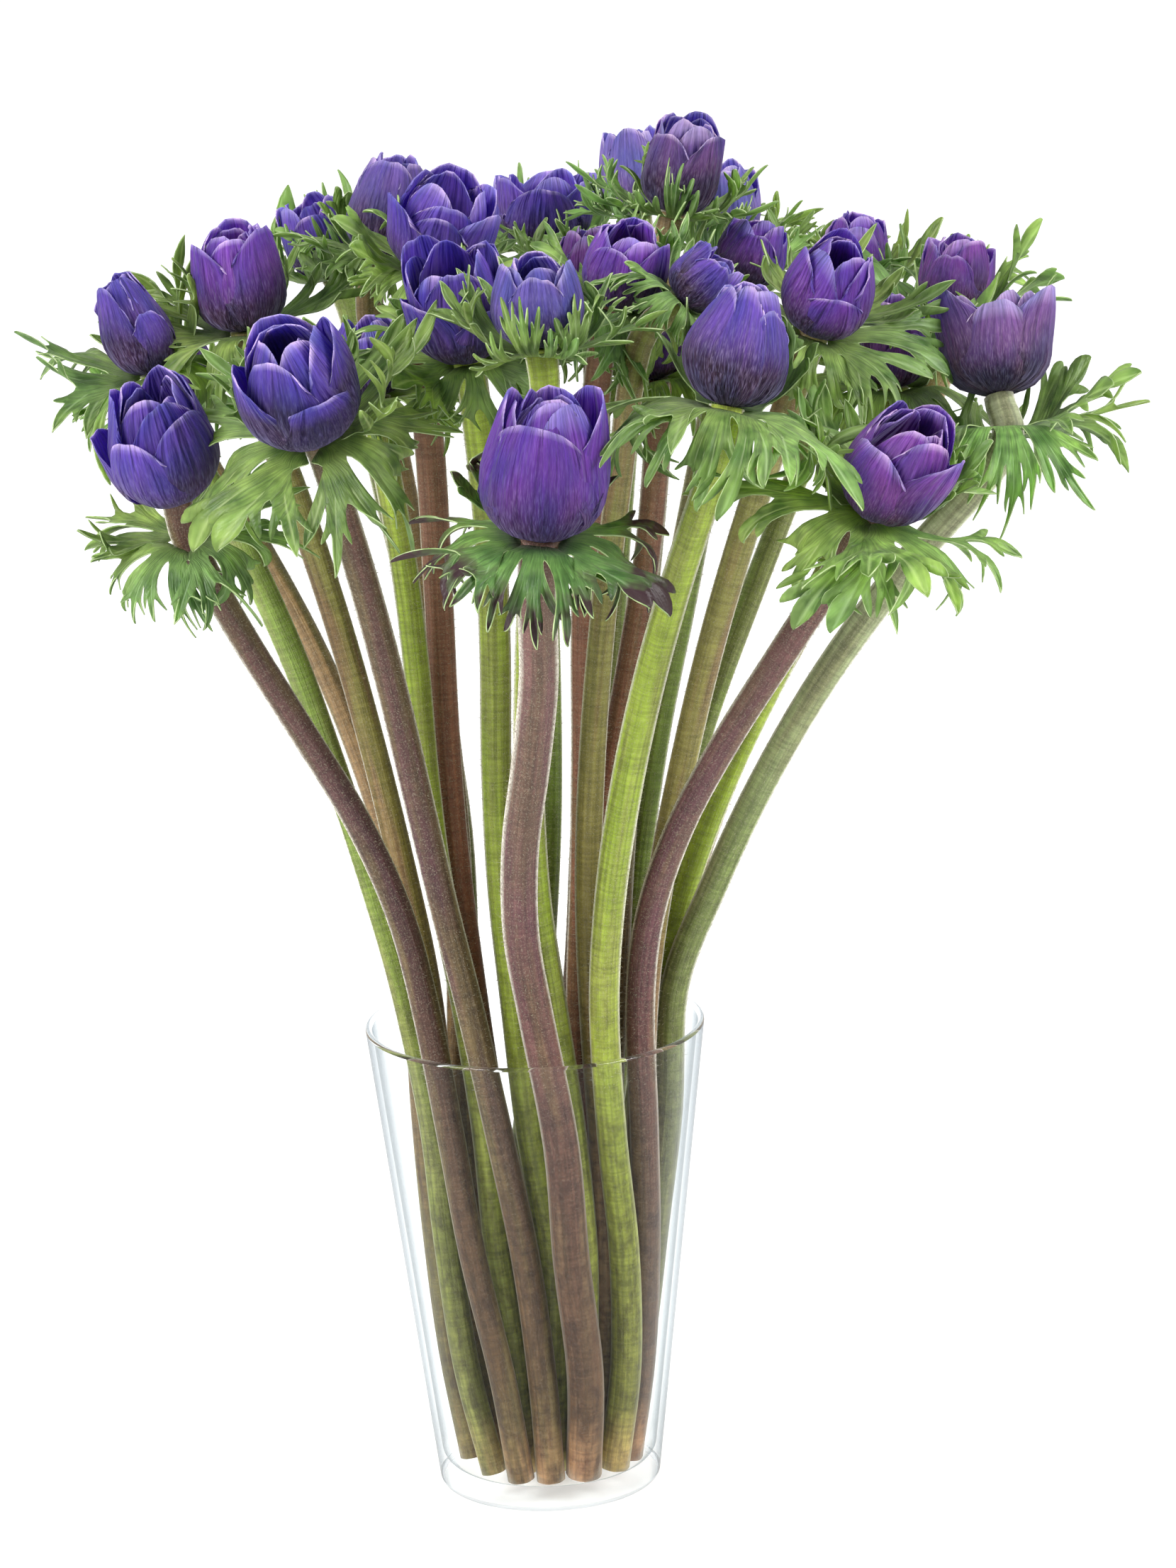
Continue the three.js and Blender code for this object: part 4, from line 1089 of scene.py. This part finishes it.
def makeLeaves(own, templates):
    s = leafSettings
    number, chance = own["number"], own["chance"]
    start = chance.uniform(0, 360)
    aims = s["aims"].get(number, [start + k * 360 / s["perFlower"] for k in range(s["perFlower"])])
    standing, standingTilt = s["standing"].get(number, (None, 0))
    leaves = []
    for k, aim in enumerate(aims):
        leaf = copyOf(chance.choice(templates), "leaf")
        mesh = leaf.data
        flat, rib, lift = points(mesh), readAttribute(mesh, "rib"), readAttribute(mesh, "lift")
        size = own["reach"] * chance.uniform(*s["sizeVary"]) * s["sizes"].get(number, 1)
        mirror = chance.choice((-1, 1))
        middle = math.radians(aim - 90) + chance.uniform(-s["aimVary"], s["aimVary"])
        # on most rings the leaves towards the viewer hang, and the foremost is narrower
        facing = -(math.cos(middle) * own["side"] + math.sin(middle) * own["back"])[1]
        narrow = 1 - (1 - s["frontNarrow"]) * (facing > s["foremost"]) * smoothStep(flat[:, 1] * 3)
        x, y = flat[:, 0] * size * mirror * narrow, flat[:, 1] * size
        hangs = number not in s["rising"] and facing > s["hanging"] and k != standing
        tilt = chance.uniform(*s["tilt"]) + (s["backTilt"] if facing < s["behind"] else 0)
        if k == standing:
            tilt = standingTilt
        bearing = (tilt, s["droop"][0] + s["droop"][1] * hangs * smoothStep(facing), hangs)
        turn = middle + np.arctan2(x, y + own["disc"])
        length = np.maximum(np.hypot(x, y + own["disc"]) - own["disc"], 0)
        outward, veinAcross = length / size, (turn - middle) * s["veinFan"]
        # a hanging leaf bends like a sheet, the others spread round the collar
        if hangs:
            sideways = -math.sin(middle) * own["side"] + math.cos(middle) * own["back"]
            turn, length = np.full(len(x), middle), np.maximum(y, 0)
            beyond = x[:, None] * sideways - s["sidewaysDroop"] * (x ** 2)[:, None] * own["axis"]
        else:
            beyond = np.zeros((len(x), 3))
        at = leafPlaces(own, turn, length, *bearing)
        ahead = leafPlaces(own, turn, length + 0.5, *bearing) - at
        beside = (leafPlaces(own, turn + 0.02, np.maximum(length, 0.5), *bearing)
                  - leafPlaces(own, turn, np.maximum(length, 0.5), *bearing))
        normal = unit(np.cross(ahead, beside))
        raised = (lift + s["wave"] * np.sin(6 * turn + k)) * length * smoothStep(outward * 1.4)
        folded = -rib * s["fold"] * smoothStep(outward * 3) * (1 - 0.6 * smoothStep(outward - 0.5))
        clear = outward * size > own["belly"] * 0.8
        high = np.where(clear, raised, np.minimum(raised, 0.3)) + folded
        movePoints(mesh, (at + beyond + normal * high[:, None]) * mm)
        if mirror < 0:
            mesh.flip_normals()
        shade = np.full(len(flat), chance.random())
        writeAttribute(mesh, "leafPlace", "FLOAT_VECTOR", np.stack([rib, outward, shade], 1))
        # across the veins and along them, in mm
        shift = np.full(len(flat), k + 10.0 * int(number))
        writeAttribute(mesh, "leafRun", "FLOAT_VECTOR", np.stack([veinAcross, outward * size, shift], 1))
        leaves.append(leaf)
    piece = joinPieces(leaves, "leaves_" + number)
    applyModifier(piece, "SUBSURF", levels=1, render_levels=1)
    setMaterials(piece, leafMaterials["flushed" if number in s["flushed"] else "fresh"], marginMaterial)
    applyModifier(piece, "SOLIDIFY", thickness=s["thickness"] * mm, offset=0, material_offset_rim=1)
    finishPiece(piece, "leafy_stem_" + number)


templates = [leafTemplate(i) for i in range(leafSettings["templates"])]
for own in flowers:
    makeLeaves(own, templates)
for template in templates:
    bpy.data.objects.remove(template)
print("leaves made")


# The blooms: petals in layers round a dark heart, each a grid laid on the bloom's cup
petalSettings = {
    "gridAcross": 14, "gridAlong": 14, "thickness": 0.4,
    # the cup, from base to mouth: share of the half width (None follows the mouth) and of the height
    "cup": ((0.16, 0.0), (0.6, 0.05), (0.92, 0.22), (1.0, 0.46), (None, 0.76), (None, 1.0)),
    "baseWidth": 0.24, "widest": 0.55, "hem": 0.04, "tip": 0.62, "corner": 0.2, "baseGap": 0.25,
    "curl": 0.72, "tuck": 0.6, "groove": 0.35, "dents": 0.024,
    "ripple": (0.4, 1.2), "notch": (0, 1.4), "roll": (-1.0, 0.6),
    # share of the cup's width: the first outer petal, the step to the next, and how it varies
    "ring": (1.035, 0.022, 0.004),
    # inner layers: petals, ring, turn, lean, height, half width, share of the mouth
    "inner": ((3, 0.93, 60.0, -0.02, 0.95, 1.1, 0.92), (3, 0.83, 25.0, -0.05, 0.97, 0.95, 0.75)),
    "innermost": (2, 0.7, 80.0, -0.08, 0.93, 0.8, 0.6),    # of the large closed blooms
    # outer petals of the blooms that show most: where each faces, height, half width, mouth, lean
    "outer": {
        "01": ((-50, 0.95, 1.1, 0.4, 0.04), (30, 0.62, 0.8, 0.6, 0), (150, 1.0, 1.2, 0.35, 0)),
        "02": ((55, 0.98, 1.4, 0.7, 0.02), (-65, 0.88, 1.3, 0.75, 0.06), (180, 1.0, 1.2, 0.6, 0)),
        "04": ((-10, 0.98, 1.5, 0.62, 0), (115, 1.0, 1.2, 0.5, 0), (-125, 0.9, 1.2, 0.6, 0)),
        "05": ((-62, 0.8, 1.0, 1.05, 0.12), (-5, 0.78, 0.9, 0.95, 0), (55, 0.86, 1.05, 0.98, 0.05),
               (180, 1.0, 1.3, 0.85, 0)),
        "06": ((-55, 0.72, 1.2, 1.15, 0.1), (-140, 0.98, 1.2, 1.0, 0.1), (35, 0.6, 1.1, 0.95, 0.05),
               (130, 0.9, 1.1, 0.9, 0)),
        "07": ((0, 0.85, 1.0, 0.6, 0), (-75, 0.95, 1.1, 0.62, 0.03), (80, 0.95, 1.2, 0.65, 0.05),
               (180, 1.0, 1.2, 0.5, 0)),
        "08": ((18, 0.6, 1.3, 0.85, 0), (-78, 0.84, 1.15, 0.8, 0.1), (100, 0.92, 1.3, 0.7, 0.05),
               (190, 0.97, 1.2, 0.6, 0)),
        "09": ((-32, 0.74, 0.95, 0.75, 0), (42, 0.84, 1.1, 0.72, 0.02), (-100, 0.6, 0.8, 1.0, 0.25),
               (140, 0.95, 1.2, 0.6, 0)),
        "13": ((-16, 0.88, 1.8, 0.62, 0), (112, 1.0, 1.5, 0.8, 0.05), (-108, 0.96, 1.2, 0.55, 0),
               (14, 0.99, 1.0, 0.42, -0.04)),
        "14": ((-38, 0.82, 1.15, 0.78, 0), (48, 0.86, 1.15, 0.8, 0.03), (160, 1.0, 1.2, 0.75, 0),
               (-130, 0.95, 1.1, 0.7, 0)),
        "17": ((-25, 0.8, 1.2, 0.7, 0), (65, 0.92, 1.15, 0.75, 0.04), (170, 1.0, 1.2, 0.6, 0),
               (-120, 0.9, 1.1, 0.6, 0)),
        "21": ((-8, 0.98, 0.66, 0.2, 0.07), (-56, 0.95, 0.8, 0.26, 0.11), (42, 0.82, 0.85, 0.4, 0.06),
               (100, 0.93, 0.9, 0.28, 0.02), (175, 1.0, 1.2, 0.2, 0), (-125, 0.95, 1.1, 0.22, 0)),
        "22": ((12, 0.6, 1.4, 0.7, 0), (-75, 0.85, 1.2, 0.6, 0.03), (95, 0.9, 1.2, 0.6, 0.03),
               (185, 1.0, 1.2, 0.5, 0)),
        "26": ((0, 0.78, 1.05, 1.0, 0), (-68, 0.98, 1.1, 1.15, 0.08), (68, 0.96, 1.1, 1.15, 0.08),
               (180, 0.95, 1.3, 0.9, 0)),
        "27": ((-38, 0.74, 1.5, 0.7, 0), (62, 0.88, 1.2, 0.9, 0.12), (150, 1.0, 1.2, 0.75, 0.03),
               (-130, 0.92, 1.1, 0.6, 0)),
    },
}


def cupLine(own, petal):
    # radius and height of the cup from its base to its mouth, and the way along it
    mouth = petal["mouth"]
    shape = []
    for radius, high in petalSettings["cup"]:
        if radius is None:
            radius = 0.5 * (1 + mouth) + 0.03 if high < 0.9 else mouth
        shape.append((own["belly"] * petal["ring"] * (radius + petal["lean"] * high), own["tall"] * high))
    run = throughPoints(shape, 10)
    length = np.concatenate([[0], np.cumsum(np.linalg.norm(np.diff(run, axis=0), axis=1))])
    return run[:, 0], run[:, 1], length


def layPetal(own, mesh, flat, petal, number):
    s = petalSettings
    # the grid's lines lie closer together towards the petal's edge
    across = flat[:, 0] * 2 * (1.5 - 2 * flat[:, 0] ** 2)
    along = 1 - (0.5 - flat[:, 1]) ** 1.5
    cupRadius, cupHeight, length = cupLine(own, petal)
    top = np.interp(petal["high"] * own["tall"], cupHeight, length)
    place = along * (1 - s["corner"] * across ** 2) * top
    radius, high = np.interp(place, length, cupRadius), np.interp(place, length, cupHeight)
    ahead = unit(np.stack([np.interp(place + 0.3, length, part) - np.interp(place - 0.3, length, part)
                           for part in (cupRadius, cupHeight)], 1))
    # half width: growing from the base to the widest place, then closing to the tip
    growing = np.sin(np.clip(along / s["widest"], 0, 1) * np.pi / 2) ** 0.9
    growing = s["baseWidth"] + (1 - s["baseWidth"]) * growing
    beyond = np.clip(along - s["widest"], 0, 1) / (1 - s["widest"])
    closing = np.sqrt(1 - (1 - s["tip"] ** 2) * beyond ** 2)
    width = petal["width"] * own["belly"] * np.where(along < s["widest"], growing, closing)
    bend = own["belly"] * (1.05 - (1.05 - s["curl"]) * smoothStep(along))
    angle = across * width / bend
    turn = math.radians(petal["aim"] - 90)
    out = math.cos(turn) * own["side"] + math.sin(turn) * own["back"]
    sideways = np.cross(own["axis"], out)
    outward = ahead[:, 1:2] * out - ahead[:, 0:1] * own["axis"]
    # ripples at the edge, a groove up the middle, dents, one edge tucked in, a rolled tip, a notch
    a, b, c = (own["chance"].uniform(0, 6.28) for _ in range(3))
    ripple = petal["ripple"] * (
        np.abs(across) ** 2.2 * np.sin(7.5 * along + a + 0.6 * np.sign(across)) * smoothStep(along * 2)
        + 0.7 * along ** 6 * np.sin(4.5 * across + b) + 0.35 * along ** 8 * np.sin(11 * across + c))
    groove = -s["groove"] * np.exp(-(across / 0.14) ** 2) * (1 - along)
    dents = s["dents"] * own["belly"] * smoothStep(along * 3) * (
        np.sin(5.2 * along + b) * np.sin(2.9 * across + c)
        + 0.5 * np.sin(9 * along + c) * np.sin(5.1 * across + a))
    tuck = across * petal["tuck"] * smoothStep(along * 1.5)
    rolled = petal["roll"] * along ** 7
    notch = petal["notch"] * np.exp(-((across - 0.15 * math.sin(c)) / 0.16) ** 2) * along ** 10
    at = (own["base"] + own["axis"] * s["baseGap"] + radius[:, None] * out + high[:, None] * own["axis"]
          + (bend * np.sin(angle))[:, None] * sideways
          - (bend * (1 - np.cos(angle)))[:, None] * outward
          + (ripple + groove + tuck + rolled + dents)[:, None] * outward
          - notch[:, None] * (ahead[:, 0:1] * out + ahead[:, 1:2] * own["axis"]))
    movePoints(mesh, at * mm)
    writeAttribute(mesh, "petalPlace", "FLOAT_VECTOR", np.stack(
        [across * petal["width"] * own["belly"], along, np.full(len(flat), number)], 1))
    # the band along the edges and the tip that takes the painted highlight
    edge = np.maximum(np.abs(across), along)
    writeAttribute(mesh, "petalHem", "FLOAT",
                   smoothStep((edge - 1 + s["hem"]) / s["hem"]) * smoothStep(along * 2 - 0.5))


def petalsOf(own):
    # outer, middle and inner layers; the first outer petal is the low one that the photo shows in front
    s = petalSettings
    chance = own["chance"]
    found = []
    side = chance.choice((-1, 1))
    outer = s["outer"].get(own["number"])
    if outer is None:
        outer = [(own["face"], own["low"], own["broad"] * 1.15, own["mouth"], 0)]
        outer += [(own["face"] + turn, chance.uniform(0.84, 0.97), chance.uniform(1.05, 1.25),
                   own["mouth"], chance.uniform(0, 0.12)) for turn in (120, 240)]
    widest, inwards, vary = s["ring"]
    for k, (aim, high, width, mouth, lean) in enumerate(outer):
        found.append({"aim": aim, "high": high, "width": width, "mouth": mouth, "lean": lean,
                      "ring": widest - inwards * k + chance.uniform(-vary, vary)})
    closed = own["belly"] > 16 and own["mouth"] < 0.8
    for count, ring, turn, lean, high, width, mouth in (*s["inner"], *([s["innermost"]] if closed else [])):
        for k in range(count):
            found.append({
                "aim": outer[0][0] + turn + k * 360 / count + chance.uniform(-12, 12),
                "high": high + chance.uniform(-0.06, 0.03),
                "width": width * chance.uniform(0.92, 1.08),
                "mouth": own["mouth"] * mouth * chance.uniform(0.9, 1.1),
                "lean": lean + chance.uniform(-0.02, 0.03),
                "ring": ring * chance.uniform(0.98, 1.02)})
    for petal in found:
        petal["tuck"] = side * s["tuck"]
        petal.update({key: chance.uniform(*s[key]) for key in ("ripple", "notch", "roll")})
    return found


def makePetals(own, sheet, flat):
    s = petalSettings
    parts = []
    for number, petal in enumerate(petalsOf(own)):
        part = copyOf(sheet, "petal")
        layPetal(own, part.data, flat, petal, number + 20 * int(own["number"]))
        parts.append(part)
    piece = joinPieces(parts, "petals_" + own["number"])
    setMaterials(piece, *petalMaterials[petalFinish["looks"].get(own["number"], own["petalTone"])])
    applyModifier(piece, "SOLIDIFY", thickness=s["thickness"] * mm, offset=-1, material_offset=1,
                  material_offset_rim=0)
    finishPiece(piece, "bloom_" + own["number"])


heartSettings = {
    "stamens": 26, "seed": 8, "turn": 2.4, "lean": (0.55, 1.0), "leanShare": 0.75, "size": (0.85, 1.1),
    "wide": 0.62, "tall": 0.8, "baseGap": 1.2,
    # dome: radius, level; thread: radius at foot and top, length, level; anther: radius, level
    "dome": (0.26, 0.1), "thread": (0.014, 0.01, 0.34, 0.2), "anther": (0.05, 0.39),
    "antherShape": (0.7, 0.7, 1.3),
}


def heartTemplate():
    # a grainy dome in a ring of anthers on short threads, for a bloom 1 wide and 1 tall
    s = heartSettings
    deselectAll()
    radius, level = s["dome"]
    bpy.ops.mesh.primitive_uv_sphere_add(segments=14, ring_count=8, radius=radius, location=(0, 0, level))
    dome = bpy.context.object
    bpy.ops.object.transform_apply(location=True)
    chance = random.Random(s["seed"])
    parts = [dome]
    for k in range(s["stamens"]):
        deselectAll()
        lean = chance.uniform(*s["lean"])
        foot, top, length, level = s["thread"]
        bpy.ops.mesh.primitive_cone_add(vertices=4, radius1=foot, radius2=top, depth=length,
                                        location=(0, 0, level))
        thread = bpy.context.object
        radius, level = s["anther"]
        bpy.ops.mesh.primitive_uv_sphere_add(segments=5, ring_count=4, radius=radius,
                                             location=(0, 0, level))
        anther = bpy.context.object
        anther.scale = s["antherShape"]
        stamen = joinPieces([thread, anther], "stamen")
        bpy.ops.object.transform_apply(location=True, rotation=True, scale=True)
        stamen.data.transform(Matrix.Rotation(lean * s["leanShare"], 4, "Y"))
        stamen.data.transform(Matrix.Rotation(k * s["turn"], 4, "Z"))
        stamen.data.transform(Matrix.Scale(chance.uniform(*s["size"]), 4))
        parts.append(stamen)
    return joinPieces(parts, "heartTemplate")


def makeHeart(own, template):
    s = heartSettings
    piece = copyOf(template, "heart_" + own["number"])
    x, y, z = points(piece.data).T[:, :, None]
    wide = own["belly"] * s["wide"]
    at = (own["base"] + own["axis"] * s["baseGap"] + x * wide * own["side"] + y * wide * own["back"]
          + z * own["tall"] * s["tall"] * own["axis"])
    movePoints(piece.data, at * mm)
    setMaterials(piece, heartMaterial)
    finishPiece(piece, "bloom_" + own["number"])


deselectAll()
bpy.ops.mesh.primitive_grid_add(x_subdivisions=petalSettings["gridAcross"],
                                y_subdivisions=petalSettings["gridAlong"], size=1)
sheet = bpy.context.object
flat = points(sheet.data)
heart = heartTemplate()
for own in flowers:
    makePetals(own, sheet, flat)
    makeHeart(own, heart)
bpy.data.objects.remove(sheet)
bpy.data.objects.remove(heart)
print("blooms made")


# Pale floor and soft light
studio = {
    "floorSize": 40.0, "floorLevel": -0.0002, "floorColour": "#e6e6e6", "floorGlow": 0.45,
    "behind": 1.06, "inFront": 0.36, "turning": (-0.35, 0.45),
    # name, place, size and watts of each lamp, and the place that they light
    "lamps": (("leftLamp", (-1.7, -1.3, 1.5), 1.3, 60.0), ("rightLamp", (1.8, -0.9, 1.4), 1.1, 40.0)),
    "lampAim": (0, 0, 0.35),
}


def seenDirectly(tree, strength):
    # strength for what the camera sees, straight on or through the glass, and 0 for the rest
    rays = addNode(tree, "LightPath").outputs
    direct = addNode(tree, "Math", {0: rays["Is Camera Ray"], 1: rays["Is Transmission Ray"]},
                     operation="MAXIMUM")
    return addNode(tree, "Math", {0: direct, 1: strength}, operation="MULTIPLY")


def makeStudio(s):
    deselectAll()
    bpy.ops.mesh.primitive_plane_add(size=s["floorSize"], location=(0, 0, s["floorLevel"]))
    floor = bpy.context.object
    floor.name = "studio_floor"
    material, tree = newMaterial("white studio floor")
    body = addNode(tree, "BsdfPrincipled", Base_Color=linear(s["floorColour"]), Roughness=0.6)
    glow = addNode(tree, "Emission", {"Strength": seenDirectly(tree, s["floorGlow"])})
    both = addNode(tree, "AddShader", {0: body, 1: glow})
    addNode(tree, "OutputMaterial", {"Surface": both})
    floor.data.materials.append(material)
    # a white wall of light behind the flowers and a dim room in front; seen directly, all is white
    world = bpy.data.worlds.new("studioWorld")
    world.use_nodes = True
    tree = world.node_tree
    tree.nodes.clear()
    where = addNode(tree, "TexCoord").outputs["Generated"]
    depth = addNode(tree, "SeparateXYZ", {0: where}).outputs["Y"]
    light = addNode(tree, "MapRange", {"Value": depth}, From_Min=s["turning"][0],
                    From_Max=s["turning"][1], To_Min=s["inFront"], To_Max=s["behind"])
    strength = addNode(tree, "Math", {0: light, 1: seenDirectly(tree, s["behind"])}, operation="MAXIMUM")
    sky = addNode(tree, "Background", {"Strength": strength}, Color=(1, 1, 1, 1))
    addNode(tree, "OutputWorld", {"Surface": sky})
    bpy.context.scene.world = world
    bpy.context.scene.view_settings.view_transform = "Standard"
    for name, place, size, power in s["lamps"]:
        data = bpy.data.lights.new(name, "AREA")
        data.energy, data.size = power, size
        lamp = bpy.data.objects.new(name, data)
        lamp.location = place
        aim = Vector(s["lampAim"]) - Vector(place)
        lamp.rotation_euler = aim.to_track_quat("-Z", "Y").to_euler()
        bpy.context.scene.collection.objects.link(lamp)


makeStudio(studio)
print("studio made")
